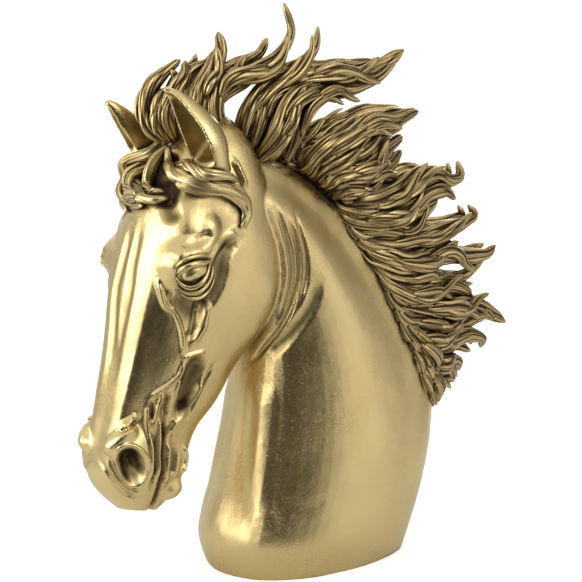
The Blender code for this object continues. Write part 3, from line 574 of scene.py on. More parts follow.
def ear_rings(drawn):
    """A rolled leaf, open in front: each ring runs round its back and returns inside its hollow."""
    drawn = np.array(drawn, float)
    knots = np.arange(len(drawn))
    at = np.linspace(0, knots[-1], EAR_RINGS)
    centres = through(knots, at_depth(drawn[:, :3]), at)
    sizes = through(knots, drawn[:, 3:], at)
    gap = math.radians(EAR_GAP)
    share = np.linspace(0, 1, EAR_POINTS // 2, endpoint=False)
    rings = []
    for centre, way, (breadth, depth, hollow) in zip(centres, directions(centres), sizes):
        hollow = min(1, max(0, hollow))
        front = np.array([EAR_TURN * np.sign(drawn[0, 2]), -1.0, 0.0])
        front = unit(front - way * (way @ front))
        across = np.cross(way, front)
        back = gap + share * 2 * (math.pi - gap)
        outer = np.column_stack([depth * np.cos(back), breadth * np.sin(back)])
        deep = (2 * math.pi - gap) - share * 2 * (math.pi - gap)
        shut = (2 * math.pi - gap) + share * 2 * gap
        wall = EAR_WALL * (0.6 + 0.4 * np.sin(math.pi * share))
        scooped = np.column_stack([(depth - wall) * np.cos(deep), (breadth - wall) * np.sin(deep)])
        filled = np.column_stack([depth * np.cos(shut), breadth * np.sin(shut)])
        loop = np.concatenate([outer, hollow * scooped + (1 - hollow) * filled])
        rings.append(centre + loop[:, :1] * front + loop[:, 1:] * across)
    return rings


def add_loft(mesh, rings):
    """Adds a closed tube through the rings to a bmesh, with a cap at each end."""
    rows = [[mesh.verts.new(tuple(p * UNIT)) for p in ring] for ring in rings]
    count = len(rows[0])
    for lower, upper in zip(rows, rows[1:]):
        for i in range(count):
            j = (i + 1) % count
            mesh.faces.new((lower[i], lower[j], upper[j], upper[i]))
    mesh.faces.new(rows[0][::-1])
    mesh.faces.new(rows[-1])


def fused(lofts, voxel):
    """One skin round all the lofts."""
    mesh = bmesh.new()
    for rings in lofts:
        add_loft(mesh, rings)
    bmesh.ops.recalc_face_normals(mesh, faces=mesh.faces)
    rough = bpy.data.meshes.new("rough")
    mesh.to_mesh(rough)
    mesh.free()
    return evaluated(rough, [("REMESH", {"mode": "VOXEL", "voxel_size": voxel * UNIT}),
                             ("SMOOTH", {"factor": 0.5, "iterations": 3})])


def plain_skin(voxel):
    """The head, neck and ears before any carving."""
    return largest_body(fused([head_rings(), neck_rings(), *map(ear_rings, EARS)], voxel))


def carved_skin(voxel):
    """The skin with its carving, and the lines of relief that were carved."""
    skin = plain_skin(voxel)
    paths = relief_paths(skin_tree(skin))
    carve(skin, paths)
    return skin, paths


def evaluated(mesh, modifiers, weights=()):
    """The mesh as the modifiers leave it, which may use the vertex group of the weights."""
    source = bpy.data.objects.new("rough", mesh)
    bpy.context.scene.collection.objects.link(source)
    if weights:
        group = source.vertex_groups.new(name="weights")
        for chosen, weight in weights:
            group.add([int(i) for i in np.flatnonzero(chosen)], weight, "REPLACE")
    for kind, settings in modifiers:
        modifier = source.modifiers.new(kind.title(), kind)
        for name, value in settings.items():
            setattr(modifier, name, value)
    graph = bpy.context.evaluated_depsgraph_get()
    made = bpy.data.meshes.new_from_object(source.evaluated_get(graph))
    bpy.data.objects.remove(source)
    return made


@contextmanager
def edited(mesh):
    """The mesh opened for changes, which are kept when the block ends."""
    body = bmesh.new()
    body.from_mesh(mesh)
    yield body
    body.to_mesh(mesh)
    body.free()


def vertex_values(mesh, name):
    values = np.empty(len(mesh.vertices) * 3)
    mesh.vertices.foreach_get(name, values)
    return values.reshape(-1, 3)


def coordinates(mesh):
    return vertex_values(mesh, "co") / UNIT


def vertex_normals(mesh):
    return vertex_values(mesh, "normal")


def set_coordinates(mesh, points):
    mesh.vertices.foreach_set("co", (points * UNIT).ravel())
    mesh.update()


def skin_tree(mesh):
    faces = [tuple(face.vertices) for face in mesh.polygons]
    return BVHTree.FromPolygons([tuple(p) for p in coordinates(mesh)], faces)


def relief_paths(tree):
    """Every line of relief as (lift, reach, points on the skin)."""
    paths = []
    for lines, other_side in ((HEAD_RELIEF, across_head), (NECK_RELIEF, mirrored)):
        for lift, reach, drawn in lines:
            near = on_skin(tree, drawn)
            paths += [(lift, reach, near), (lift, reach, snapped(tree, other_side(near)))]
    mouth = MOUTH + [(-x, s, t) for x, s, t in MOUTH[-2::-1]]
    paths.append((*MOUTH_CUT, snapped(tree, head_point(mouth))))
    return [(lift * (FINE_LIFT if reach < FINE_REACH else 1), reach, path) for lift, reach, path in paths]


def mirrored(points):
    return points * (-1, 1, 1)


def snapped(tree, points):
    return np.array([tree.find_nearest(tuple(p))[0] for p in points])


def path_length(path):
    return np.linalg.norm(np.diff(path, axis=0), axis=1).sum()


@cache
def coarse_skin(carved):
    """The tree of a coarse skin, carved or plain, that locks and eyes are laid on."""
    return skin_tree(carved_skin(COARSE_VOXEL)[0] if carved else plain_skin(COARSE_VOXEL))


def close_to(points, path, reach):
    """Which points are close to a path, how far from it they are, and their share of the way along it."""
    line = smooth_line(path, max(3, int(path_length(path) / RELIEF_STEP)))
    inside = np.all((points > line.min(0) - reach) & (points < line.max(0) + reach), axis=1)
    near = np.flatnonzero(inside)
    gaps = np.linalg.norm(points[near, None] - line[None], axis=2)
    nearest = gaps.argmin(axis=1)
    return near, gaps[np.arange(len(near)), nearest], nearest / (len(line) - 1)


def relief_at(points, reach, path):
    """Which points a line of relief touches, and how much of its lift each of them gets."""
    near, gap, share = close_to(points, path, reach)
    open_ended = np.linalg.norm(path[0] - path[-1]) > 1 and path_length(path) > 3 * reach
    ends = np.clip(np.minimum(share, 1 - share) / RELIEF_ENDS, RELIEF_ENDS, 1) if open_ended else 1
    return near, ends * np.clip(1 - (gap / reach) ** 2, 0, 1) ** 2


def carve(mesh, paths):
    """Raises or cuts the skin along the paths."""
    points = coordinates(mesh)
    moved = np.zeros(len(points))
    for lift, reach, path in paths:
        near, amount = relief_at(points, reach, path)
        moved[near] += lift * amount
    set_coordinates(mesh, points + vertex_normals(mesh) * moved[:, None])


def largest_body(mesh):
    """Leaves only the biggest closed body of a mesh."""
    with edited(mesh) as body:
        unseen = set(body.verts)
        groups = []
        while unseen:
            stack = [unseen.pop()]
            group = list(stack)
            while stack:
                for edge in stack.pop().link_edges:
                    for vert in edge.verts:
                        if vert in unseen:
                            unseen.remove(vert)
                            group.append(vert)
                            stack.append(vert)
            groups.append(group)
        groups.sort(key=len)
        for group in groups[:-1]:
            bmesh.ops.delete(body, geom=group, context="VERTS")
    return mesh


def close_to_lines(points, lines, reach):
    """How far each point is from the nearest of the lines, up to reach."""
    best = np.full(len(points), float(reach))
    for line in lines:
        near, gap, _ = close_to(points, line, reach)
        best[near] = np.minimum(best[near], gap)
    return best


def thinned(mesh, lines, triangles):
    """The mesh with this many triangles, more of them near the lines than on the plain skin."""
    fine = close_to_lines(coordinates(mesh), lines, RELIEF_MARGIN) < RELIEF_MARGIN
    fewer = {"ratio": min(1.0, triangles / (2 * len(mesh.polygons))), "use_collapse_triangulate": True,
             "vertex_group": "weights", "vertex_group_factor": RELIEF_KEPT}
    return evaluated(mesh, [("DECIMATE", fewer)], [(~fine, PLAIN_WEIGHT), (fine, RELIEF_WEIGHT)])


def cut_underside(mesh):
    """Cuts the mesh off flat at the height it stands on."""
    with edited(mesh) as body:
        geometry = body.verts[:] + body.edges[:] + body.faces[:]
        cut = bmesh.ops.bisect_plane(
            body, geom=geometry, plane_co=(0, 0, 0), plane_no=(0, 0, 1), clear_inner=True)
        edges = [item for item in cut["geom_cut"] if isinstance(item, bmesh.types.BMEdge)]
        bmesh.ops.holes_fill(body, edges=edges, sides=0)
        bmesh.ops.triangulate(body, faces=[face for face in body.faces if len(face.verts) > 4])
    return mesh


def uneven(points, size, amount, seed):
    """A soft hand-worked unevenness: a lift for every point."""
    lifts = [noise.noise(Vector((p[0] / size + seed, p[1] / size, p[2] / size))) for p in points]
    return np.array(lifts) * amount


def hidden_share(points, normals, tree, reach):
    """How much of the way out of each point is blocked near by, from 0 to 1, over a fan of directions."""
    helper = np.where(np.abs(normals[:, 2:]) < 0.8, [[0.0, 0.0, 1.0]], [[1.0, 0.0, 0.0]])
    first = np.cross(normals, helper)
    first /= np.linalg.norm(first, axis=1)[:, None] + 1e-9
    second = np.cross(normals, first)
    blocked = np.zeros(len(points))
    starts = points + normals * FAN_LIFT
    for turn in FAN_TURNS:
        lean = 0.0 if turn is None else FAN_LEAN
        aside = math.cos(turn or 0) * first + math.sin(turn or 0) * second
        way = normals * math.cos(lean) + math.sin(lean) * aside
        for i, (start, out) in enumerate(zip(starts, way)):
            _, _, _, gap = tree.ray_cast(tuple(start), tuple(out), reach)
            if gap is not None:
                blocked[i] += (1 - gap / reach) / len(FAN_TURNS)
    return blocked


def store(mesh, name, values):
    """Keeps a value for each vertex, which the material reads."""
    layer = mesh.attributes.new(name, "FLOAT", "POINT")
    layer.data.foreach_set("value", np.asarray(values, np.float32))


def ups_and_downs(draw, length, wave, amount):
    """A smooth wandering value along a lock, as a function of the share of the way along it."""
    waves = [(draw.uniform(0.6, 1.6) * length / wave, draw.uniform(0, 6.3), draw.uniform(0.4, 1))
             for _ in range(3)]
    return lambda u: amount * sum(
        size * math.sin(2 * math.pi * beat * u + start) for beat, start, size in waves) / 2


def lock_frame(way, lean):
    """Two directions across a lock: out of the mane's side, and along its breadth."""
    side = np.array([1.0, lean, 0.0])
    side = unit(side - way * (way @ side))
    return side, np.cross(way, side)


def lock_tube(points, width, draw, depth, step):
    """A lock of hair as (points, faces, groove depths): a tapering tube with wandering strands."""
    length = path_length(points)
    path = smooth_line(points, max(LOCK_RINGS, int(length / step)))
    share = np.linspace(0, 1, len(path))
    half = width / 2 * through(TAPER_AT, TAPER, share)
    families = []
    for least, share_of_width, deep, sharp in STRAND_FAMILIES:
        number = max(least, round(width * share_of_width))
        families.append((number, deep * depth, sharp, ups_and_downs(draw, length, 70, 1.6 / number + 0.16)))
    count = POINTS_PER_STRAND * families[-1][0]
    angles = np.linspace(0, 2 * math.pi, count, endpoint=False)
    twist = draw.choice((-1, 1)) * draw.uniform(0.3, 0.9)
    swell = ups_and_downs(draw, length, 45, 0.10)
    sway = ups_and_downs(draw, length, 60, width * 0.07)
    rows, grooves = [], []
    for centre, way, wide, u in zip(path, directions(path), half, share):
        side, broad = lock_frame(way, LOCK_LEAN)
        roll = twist * (u - 0.5)
        strength = min(1.0, wide / 4)
        groove = np.zeros(count)
        reach = np.ones(count)
        for number, deep, sharp, wander in families:
            cut = (1 - np.abs(np.sin(number * (angles + roll + wander(u)) / 2))) ** sharp
            reach -= strength * deep * cut
            groove += strength * cut * (0.35 + deep)
        wide = wide * (1 + swell(u))
        flat = wide * LOCK_FLATNESS + 0.5
        across = math.cos(roll) * broad + math.sin(roll) * side
        out = math.cos(roll) * side - math.sin(roll) * broad
        middle = centre + broad * sway(u) * math.sin(math.pi * u)
        rows.append(middle + (wide * reach * np.cos(angles))[:, None] * across
                    + (flat * reach * np.sin(angles))[:, None] * out)
        grooves.append(np.clip(groove, 0, 1))
    return tube_mesh(rows, grooves)


def tube_mesh(rows, values):
    """Points, faces and values of a closed tube through the rows, with a point at each end."""
    count = len(rows[0])
    points = [rows[0].mean(0)[None], *rows, rows[-1].mean(0)[None]]
    whole = [np.array([np.mean(values[0])]), *values, np.array([np.mean(values[-1])])]
    faces = []
    last = 1 + count * (len(rows) - 1)
    for i in range(count):
        j = (i + 1) % count
        faces.append((0, 1 + j, 1 + i))
        faces.append((last + count, last + i, last + j))
    for row in range(len(rows) - 1):
        low = 1 + row * count
        for i in range(count):
            j = (i + 1) % count
            faces.append((low + i, low + j, low + count + j, low + count + i))
    return np.concatenate(points), faces, np.concatenate(whole)


def wisps(points, width, draw, number):
    """Thin strands that run along the face of a lock and leave it a little, each (points, width)."""
    path = smooth_line(points, LINE_POINTS)
    ways = directions(path)
    made = []
    for _ in range(number):
        first = draw.uniform(0.05, 0.5)
        last = first + draw.uniform(0.3, 0.5)
        angle, drift = draw.uniform(0, 2 * math.pi), draw.uniform(-1.4, 1.4)
        wave = ups_and_downs(draw, path_length(points), 40, 1.2)
        line = []
        for u in np.linspace(first, min(last, 0.97), 8):
            at = min(LINE_POINTS - 1, int(u * (LINE_POINTS - 1)))
            side, broad = lock_frame(ways[at], LOCK_LEAN)
            wide = width / 2 * float(through(TAPER_AT, TAPER, [u])[0])
            turn = angle + drift * (u - first)
            line.append(path[at] + broad * (wide * math.cos(turn) * 0.96 + wave(u))
                        + side * (wide * LOCK_FLATNESS * math.sin(turn) * 1.05))
        made.append((np.array(line), draw.uniform(2.2, 4.0)))
    return made


def wisp_tube(points, width, step=ROW_STEP):
    """A plain thin strand, or a fold of an eyelid, as (points, faces, groove depths)."""
    path = smooth_line(points, max(WISP_RINGS, int(path_length(points) / step)))
    half = width / 2 * through(WISP_TAPER_AT, WISP_TAPER, np.linspace(0, 1, len(path)))
    angles = np.linspace(0, 2 * math.pi, WISP_POINTS, endpoint=False)
    rows = []
    for centre, way, wide in zip(path, directions(path), half):
        side, broad = lock_frame(way, WISP_LEAN)
        rows.append(centre + (wide * np.cos(angles))[:, None] * broad
                    + (wide * np.sin(angles))[:, None] * side)
    return tube_mesh(rows, [np.full(len(angles), WISP_GROOVE)] * len(rows))


def hair_mesh(name, locks, draw, sizes, step=ROW_STEP):
    """One mesh of many locks and their wisps."""
    parts = []
    for path, width in locks:
        parts.append(lock_tube(path, width, draw, sizes.strand_depth, step))
        parts += [wisp_tube(*wisp, step) for wisp in wisps(path, width, draw, round(width * sizes.wisps))]
    return joined(name, parts)


def joined(name, parts):
    """One mesh of many closed tubes, with the depth of their grooves stored."""
    points, faces, grooves = [], [], []
    total = 0
    for part_points, part_faces, part_grooves in parts:
        points.append(part_points)
        faces.extend(tuple(total + i for i in face) for face in part_faces)
        grooves.append(part_grooves)
        total += len(part_points)
    mesh = bpy.data.meshes.new(name)
    mesh.from_pydata([tuple(p) for p in np.concatenate(points) * UNIT], [], faces)
    with edited(mesh) as body:
        bmesh.ops.recalc_face_normals(body, faces=body.faces)
    # The depth of the grooves between strands brings dark wax, partly patina and partly painted shade.
    store(mesh, "groove", np.concatenate(grooves))
    return mesh


def shown(name, mesh, material):
    """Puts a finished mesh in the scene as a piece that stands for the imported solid."""
    mesh.shade_smooth()
    piece = bpy.data.objects.new(name, mesh)
    mesh.materials.clear()
    mesh.materials.append(material)
    bpy.context.scene.collection.objects.link(piece)
    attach(piece, "root")
    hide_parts("horse_head")
    return piece


def staggered(paths, first):
    """The paths with their roots sunk in the skin and their middles in and out by turns."""
    for i, path in enumerate(paths, first):
        path[0, 0] *= ROOT_DEPTH
        path[1:-1, 0] += np.sign(path[1, 0]) * LOCK_STAGGER * STAGGER[i % 3]
    return paths


def combed(tree, drawn):
    """A side lock's path that first runs down the skin along the crest, and only then leaves it."""
    path = at_depth(drawn)
    x, y, _ = drawn[0]
    lead = on_skin(tree, [(x + right, y + down, lift) for right, down, lift in COMBED_LEAD])
    return np.concatenate([lead, path[1:]])


def between(locks, draw):
    """Deeper, shorter locks that fill the gaps between neighbours."""
    filled = []
    for (path, width), (other, other_width) in zip(locks, locks[1:]):
        middle = (smooth_line(path, BETWEEN_POINTS) + smooth_line(other, BETWEEN_POINTS)) / 2
        middle[:, 0] *= BETWEEN_DEPTH
        filled.append((middle[:draw.randint(8, 9)], BETWEEN_WIDTH * (width + other_width)))
    return filled


def gap_between(path):
    """How near a path comes to the gaps that stay open in the mane, as seen from the drawn side."""
    line = smooth_line(path, LINE_POINTS)
    nearest = math.inf
    for x, y in MANE_GAPS:
        start, way = sight_line(x, y)
        off = line - start
        nearest = min(nearest, np.linalg.norm(off - np.outer(off @ way, way), axis=1).min())
    return nearest


def clear_of_gaps(locks):
    """The locks without those that would close a gap, and narrower beside one."""
    kept = []
    for path, width in locks:
        gap = gap_between(path)
        if gap > GAP_REACH:
            kept.append((path, min(width, 2 * (gap - GAP_REACH) + GAP_WIDTH)))
    return kept


def flicks(locks, draw, each):
    """Small locks that lie on the bigger ones, part from them and curl away at the tip."""
    made = []
    for path, width in locks:
        line = smooth_line(path, LINE_POINTS)
        ways = directions(line)
        outside = np.sign(line[LINE_POINTS // 2, 0])
        for _ in range(each):
            first = draw.uniform(0.12, 0.42)
            last = min(0.93, first + draw.uniform(0.38, 0.52))
            turn, bend = draw.choice((-1, 1)), draw.uniform(0.5, 0.95) * FLICK_BEND
            points = []
            for t in np.linspace(0, 1, 7):
                at = round((LINE_POINTS - 1) * (first + (last - first) * t))
                side, broad = lock_frame(ways[at], LOCK_LEAN)
                across = turn * bend * (t ** 2.4 - 0.35 * math.sin(math.pi * t))
                out = width * 0.5 * LOCK_FLATNESS * (0.5 + 0.8 * math.sin(math.pi * min(t, 0.8)))
                points.append(line[at] + broad * across + side * (outside * out))
            made.append((np.array(points), width * draw.uniform(0.42, 0.6)))
    return made


def mane_locks(tree):
    """The locks as {part of the mane: [(path, width), ...]}."""
    widths = [width * LOCK_FULLNESS for width, _ in NEAR_LOCKS]
    top = staggered([at_depth(drawn) for _, drawn in NEAR_LOCKS[:FAR_FIRST]], 0)
    left = [combed(tree, drawn) for _, drawn in NEAR_LOCKS[FAR_FIRST:]]
    far_top = staggered([at_depth(drawn) for _, drawn in FAR_LOCKS], len(NEAR_LOCKS))
    right = []
    for path in left:
        near = mirrored(path)
        right.append(near[0] + (near - near[0]) * FAR_SHORTER)
    for paths in (left, right):
        for i, path in enumerate(paths):
            path[2:-1, 0] += np.sign(path[2, 0]) * LOCK_STAGGER * STAGGER[i % 3]
    lower = widths[FAR_FIRST:]
    return {
        "top_left": list(zip(top, widths)),
        "top_right": list(zip(far_top, [width * LOCK_FULLNESS for width, _ in FAR_LOCKS])),
        "left_upper": list(zip(left[:LEFT_SPLIT], lower)),
        "left_lower": list(zip(left[LEFT_SPLIT:], lower[LEFT_SPLIT:])),
        "right": list(zip(right, lower)),
    }


def new_group(name, inputs, outputs):
    """A shader node group with the named sockets, and its two end nodes."""
    group = bpy.data.node_groups.new(name, "ShaderNodeTree")
    for label, kind, default in inputs:
        socket = group.interface.new_socket(label, in_out="INPUT", socket_type=kind)
        socket.default_value = default
    for label, kind in outputs:
        group.interface.new_socket(label, in_out="OUTPUT", socket_type=kind)
    return group, group.nodes.new("NodeGroupInput"), group.nodes.new("NodeGroupOutput")


def fed(tree, socket, value):
    """Gives a socket its value, which is a plain number or the output of another node."""
    if isinstance(value, (int, float)):
        socket.default_value = value
    else:
        tree.links.new(value, socket)


def math_node(tree, operation, first, second, clamp=False):
    """A Math node whose inputs are sockets or plain numbers; gives its output."""
    node = tree.nodes.new("ShaderNodeMath")
    node.operation = operation
    node.use_clamp = clamp
    fed(tree, node.inputs[0], first)
    fed(tree, node.inputs[1], second)
    return node.outputs[0]


def noise_node(tree, scale, detail, roughness):
    """Noise over the piece's own metres; gives its output."""
    place = tree.nodes.new("ShaderNodeTexCoord")
    texture = tree.nodes.new("ShaderNodeTexNoise")
    texture.inputs["Detail"].default_value = detail
    texture.inputs["Roughness"].default_value = roughness
    fed(tree, texture.inputs["Scale"], scale)
    tree.links.new(place.outputs["Object"], texture.inputs["Vector"])
    return texture.outputs["Fac"]


def surface_value(tree, name):
    node = tree.nodes.new("ShaderNodeAttribute")
    node.attribute_name = name
    return node.outputs["Fac"]


def mixed(tree, share, first, second):
    """A mix of two colours, each a socket or plain; gives its output."""
    node = tree.nodes.new("ShaderNodeMix")
    node.data_type = "RGBA"
    tree.links.new(share, node.inputs[0])
    for socket, colour in ((node.inputs[6], first), (node.inputs[7], second)):
        if isinstance(colour, bpy.types.NodeSocket):
            tree.links.new(colour, socket)
        else:
            socket.default_value = (*colour[:3], 1)
    return node.outputs[2]


def shade_and_wash_group():
    """Dark wax left in the hollows, partly patina and partly painted shade, broken up so that its edge isn't
    even.
    """
    group, given, made = new_group(
        "Recess shade and wash",
        [("Reach", "NodeSocketFloat", 1.0), ("Strands", "NodeSocketFloat", 0.0),
         ("Breakup", "NodeSocketFloat", 0.35), ("Scale", "NodeSocketFloat", 160.0)],
        [("Mask", "NodeSocketFloat")])
    hollow = surface_value(group, "hollow")
    groove = surface_value(group, "groove")
    cloud = noise_node(group, given.outputs["Scale"], 4.0, 0.5)
    deep = math_node(group, "MULTIPLY", hollow, given.outputs["Reach"])
    lines = math_node(group, "MULTIPLY", groove, given.outputs["Strands"])
    whole = math_node(group, "ADD", deep, lines)
    broken = math_node(group, "MULTIPLY", math_node(group, "SUBTRACT", cloud, 0.5), given.outputs["Breakup"])
    gated = math_node(group, "MULTIPLY", broken, math_node(group, "MULTIPLY", whole, 4.0, True))
    total = math_node(group, "ADD", whole, gated, True)
    group.links.new(total, made.inputs["Mask"])
    return group


def gilding():
    """The gold itself: warm and cool clouds, rubbed high places with a painted highlight, and satin speckle.
    """
    group, given, made = new_group(
        "Gilding",
        [("Gold", "NodeSocketColor", (0.6, 0.45, 0.2, 1)),
         ("Worn and highlit gold", "NodeSocketColor", (0.8, 0.7, 0.4, 1)),
         ("Warm", "NodeSocketColor", (0.6, 0.35, 0.12, 1)), ("Wear and highlight", "NodeSocketFloat", 0.5),
         ("Roughness", "NodeSocketFloat", 0.28)],
        [("Color", "NodeSocketColor"), ("Roughness", "NodeSocketFloat"), ("Height", "NodeSocketFloat")])
    clouds = noise_node(group, *CLOUDS)
    speckle = noise_node(group, *SPECKLE)
    grain = noise_node(group, *GRAIN)
    ridge = surface_value(group, "ridge")
    warm = math_node(group, "MULTIPLY", math_node(group, "SUBTRACT", clouds, 0.42, True), 2.2, True)
    tone = mixed(group, warm, given.outputs["Gold"], given.outputs["Warm"])
    # High places get the worn gold, partly rubbed gilding and partly a painted highlight.
    rubbed_and_highlit = math_node(group, "MULTIPLY", ridge, given.outputs["Wear and highlight"])
    rubbed_and_highlit = math_node(group, "MULTIPLY", rubbed_and_highlit, math_node(group, "ADD", speckle, 0.5), True)
    group.links.new(mixed(group, rubbed_and_highlit, tone, given.outputs["Worn and highlit gold"]), made.inputs["Color"])
    spread = math_node(group, "MULTIPLY", math_node(group, "SUBTRACT", speckle, 0.5), 0.22)
    wide = math_node(group, "MULTIPLY", math_node(group, "SUBTRACT", clouds, 0.5), 0.18)
    rough = math_node(group, "ADD", given.outputs["Roughness"], math_node(group, "ADD", spread, wide))
    group.links.new(rough, made.inputs["Roughness"])
    height = math_node(group, "ADD", math_node(group, "MULTIPLY", speckle, 0.7), grain)
    group.links.new(height, made.inputs["Height"])
    return group


def group_of(name, build):
    return bpy.data.node_groups.get(name) or build()


def antique_gold(name, finish):
    """A gilded casting with dark wax and painted shade in its hollows, by the name of its finish."""
    tone, hollows, grooves, wear_and_highlight, rougher, bump = FINISHES[name]
    material = bpy.data.materials.get(name)
    if material:
        return material
    material = bpy.data.materials.new(name)
    material.use_nodes = True
    tree = material.node_tree
    shader = tree.nodes["Principled BSDF"]
    gilt = tree.nodes.new("ShaderNodeGroup")
    gilt.node_tree = group_of("Gilding", gilding)
    gilt.inputs["Gold"].default_value = (*getattr(finish, tone), 1)
    gilt.inputs["Worn and highlit gold"].default_value = (*finish.worn_gold_and_highlight, 1)
    gilt.inputs["Warm"].default_value = (*finish.warm_gold, 1)
    gilt.inputs["Wear and highlight"].default_value = wear_and_highlight
    gilt.inputs["Roughness"].default_value = finish.roughness + rougher
    wax_and_shade = tree.nodes.new("ShaderNodeGroup")
    wax_and_shade.node_tree = group_of("Recess shade and wash", shade_and_wash_group)
    wax_and_shade.inputs["Reach"].default_value = hollows * finish.wax_and_shade
    wax_and_shade.inputs["Strands"].default_value = grooves
    mask = wax_and_shade.outputs["Mask"]
    # The mask turns the gold to the dark patina colour, partly the casting's patina and partly painted shade.
    tree.links.new(mixed(tree, mask, gilt.outputs["Color"], finish.patina), shader.inputs["Base Color"])
    rough = math_node(tree, "ADD", gilt.outputs["Roughness"], math_node(tree, "MULTIPLY", mask, 0.32), True)
    tree.links.new(rough, shader.inputs["Roughness"])
    metal = math_node(tree, "SUBTRACT", 1.0, math_node(tree, "MULTIPLY", mask, 0.12), True)
    tree.links.new(metal, shader.inputs["Metallic"])
    grain = tree.nodes.new("ShaderNodeBump")
    grain.inputs["Strength"].default_value = bump
    grain.inputs["Distance"].default_value = GRAIN_DEPTH
    tree.links.new(gilt.outputs["Height"], grain.inputs["Height"])
    tree.links.new(grain.outputs["Normal"], shader.inputs["Normal"])
    return material


class HorseSizes(bpy.types.PropertyGroup):
    skin_voxel: FloatProperty(
        name="Skin grain", description="Side of the smallest form on the skin, in model units",
        default=1.0, min=0.6, max=2.0)
    skin_triangles: IntProperty(
        name="Skin triangles", description="Triangles of the head and neck",
        default=185000, min=20000, max=199000)
    unevenness: FloatProperty(
        name="Unevenness", description="Height of the hand-worked unevenness of the skin, in model units",
        default=0.45, min=0.0, max=2.0)
    strand_depth: FloatProperty(
        name="Strand depth",
        description="Depth of the grooves between strands, as a share of a lock's half width",
        default=0.26, min=0.0, max=0.6)
    wisps: FloatProperty(
        name="Wisps", description="Loose thin strands for each unit of a lock's width",
        default=0.12, min=0.0, max=1.0)
    flicks: IntProperty(
        name="Flicks", description="Small curling locks laid on each lock of the mane",
        default=2, min=0, max=8)
    seed: IntProperty(name="Seed", description="Which chance arrangement of strands is made", default=7)


class HorseFinish(bpy.types.PropertyGroup):
    gold: FloatVectorProperty(
        name="Gold", description="The gilding on plain skin", subtype="COLOR", size=3,
        default=(0.62, 0.48, 0.21), min=0, max=1)
    worn_gold_and_highlight: FloatVectorProperty(
        # Worn gold is partly rubbed gilding and partly a painted highlight on the ridges.
        name="Worn and highlit gold", description="The gilding where it is rubbed bright", subtype="COLOR", size=3,
        default=(0.78, 0.64, 0.34), min=0, max=1)
    warm_gold: FloatVectorProperty(
        name="Warm gold", description="The redder clouds in the gilding", subtype="COLOR", size=3,
        default=(0.56, 0.38, 0.14), min=0, max=1)
    # The dark colour in the hollows is partly the casting's patina and partly painted shade.
    patina: FloatVectorProperty(
        name="Patina and shade", description="The dark wax in the hollows", subtype="COLOR", size=3,
        default=(0.045, 0.028, 0.012), min=0, max=1)
    # How strongly the hollows take the dark patina and painted shade.
    wax_and_shade: FloatProperty(
        name="Wax and shade", description="How much dark wax the hollows hold", default=0.95, min=0, max=2)
    roughness: FloatProperty(
        name="Roughness", description="Roughness of the satin gold", default=0.23, min=0, max=1)


class HorseStage(bpy.types.PropertyGroup):
    floor: FloatVectorProperty(
        name="Floor", description="Colour of the floor", subtype="COLOR", size=3,
        default=(0.58, 0.58, 0.57), min=0, max=1)
    glow: FloatProperty(
        name="Floor brightness", description="How much paler the floor is where the camera sees it",
        default=0.48, min=0, max=2)
    daylight: FloatProperty(
        name="Soft light", description="Strength of the light from all round", default=1.0, min=0, max=5)
    key: FloatProperty(
        name="Key light", description="Power of the light at the face's side", default=3.4, min=0, max=500,
        subtype="POWER")
    top: FloatProperty(
        name="Top light", description="Power of the small light above the brow", default=5.0, min=0, max=500,
        subtype="POWER")
    rim: FloatProperty(
        name="Rim light", description="Power of the light at the crest's side", default=10.0, min=0, max=500,
        subtype="POWER")


class HORSE_OT_forelock(bpy.types.Operator):
    """Makes the forelock's curls between the ears and over the brow"""
    bl_idname = "horse.forelock"
    bl_label = "Forelock"

    def execute(self, context):
        sizes = context.scene.horse_sizes
        draw = random.Random(sizes.seed)
        locks = [(on_skin(coarse_skin(True), drawn), width) for width, drawn in FORELOCK]
        shown("forelock", hair_mesh("forelock", locks, draw, sizes),
              antique_gold("forelock gold", context.scene.horse_finish))
        return {"FINISHED"}


def make_mane(context, part):
    """The named part of the mane: its drawn locks, deeper ones between them, and flicks on them."""
    sizes = context.scene.horse_sizes
    draw = random.Random(sizes.seed + len(part))
    locks = mane_locks(coarse_skin(False))[part]
    each, step = (sizes.flicks, ROW_STEP) if part != "right" else (1, FAR_ROW_STEP)
    small = between(locks, draw) + flicks(locks, draw, each)
    mesh = hair_mesh("mane_" + part, clear_of_gaps(locks + small), draw, sizes, step)
    shown(mesh.name, mesh, antique_gold("hair gold", context.scene.horse_finish))


class HORSE_OT_mane_top(bpy.types.Operator):
    """Makes the long locks that stream up and back from the poll, on both sides"""
    bl_idname = "horse.mane_top"
    bl_label = "Mane, top"

    def execute(self, context):
        make_mane(context, "top_left")
        make_mane(context, "top_right")
        return {"FINISHED"}


class HORSE_OT_mane_left(bpy.types.Operator):
    """Makes the locks down the left side of the neck"""
    bl_idname = "horse.mane_left"
    bl_label = "Mane, left side"

    def execute(self, context):
        make_mane(context, "left_upper")
        make_mane(context, "left_lower")
        return {"FINISHED"}


class HORSE_OT_mane_right(bpy.types.Operator):
    """Makes the locks down the right side of the neck"""
    bl_idname = "horse.mane_right"
    bl_label = "Mane, right side"

    def execute(self, context):
        make_mane(context, "right")
        return {"FINISHED"}


def sunk_share(points, paths):
    """How deep each point lies in the carved hollows, from 0 to 1, which is SUNK_FULL or more."""
    depth = np.zeros(len(points))
    for lift, reach, path in paths:
        if lift < 0:
            near, amount = relief_at(points, reach, path)
            depth[near] -= lift * amount
    return np.clip(depth / SUNK_FULL, 0, 1)


def ear_middle(ear):
    return at_depth([place[:3] for place in ear])


def smooth_ears(mesh):
    """Takes the steps of the voxels out of the thin rims of the ears."""
    paths = [ear_middle(ear)[2:] for ear in EARS]
    near = np.flatnonzero(close_to_lines(coordinates(mesh), paths, CUP_REACH) < CUP_REACH)
    with edited(mesh) as body:
        body.verts.ensure_lookup_table()
        verts = [body.verts[i] for i in near]
        for _ in range(EAR_SMOOTHINGS):
            bmesh.ops.smooth_vert(
                body, verts=verts, factor=0.5, use_axis_x=True, use_axis_y=True, use_axis_z=True)


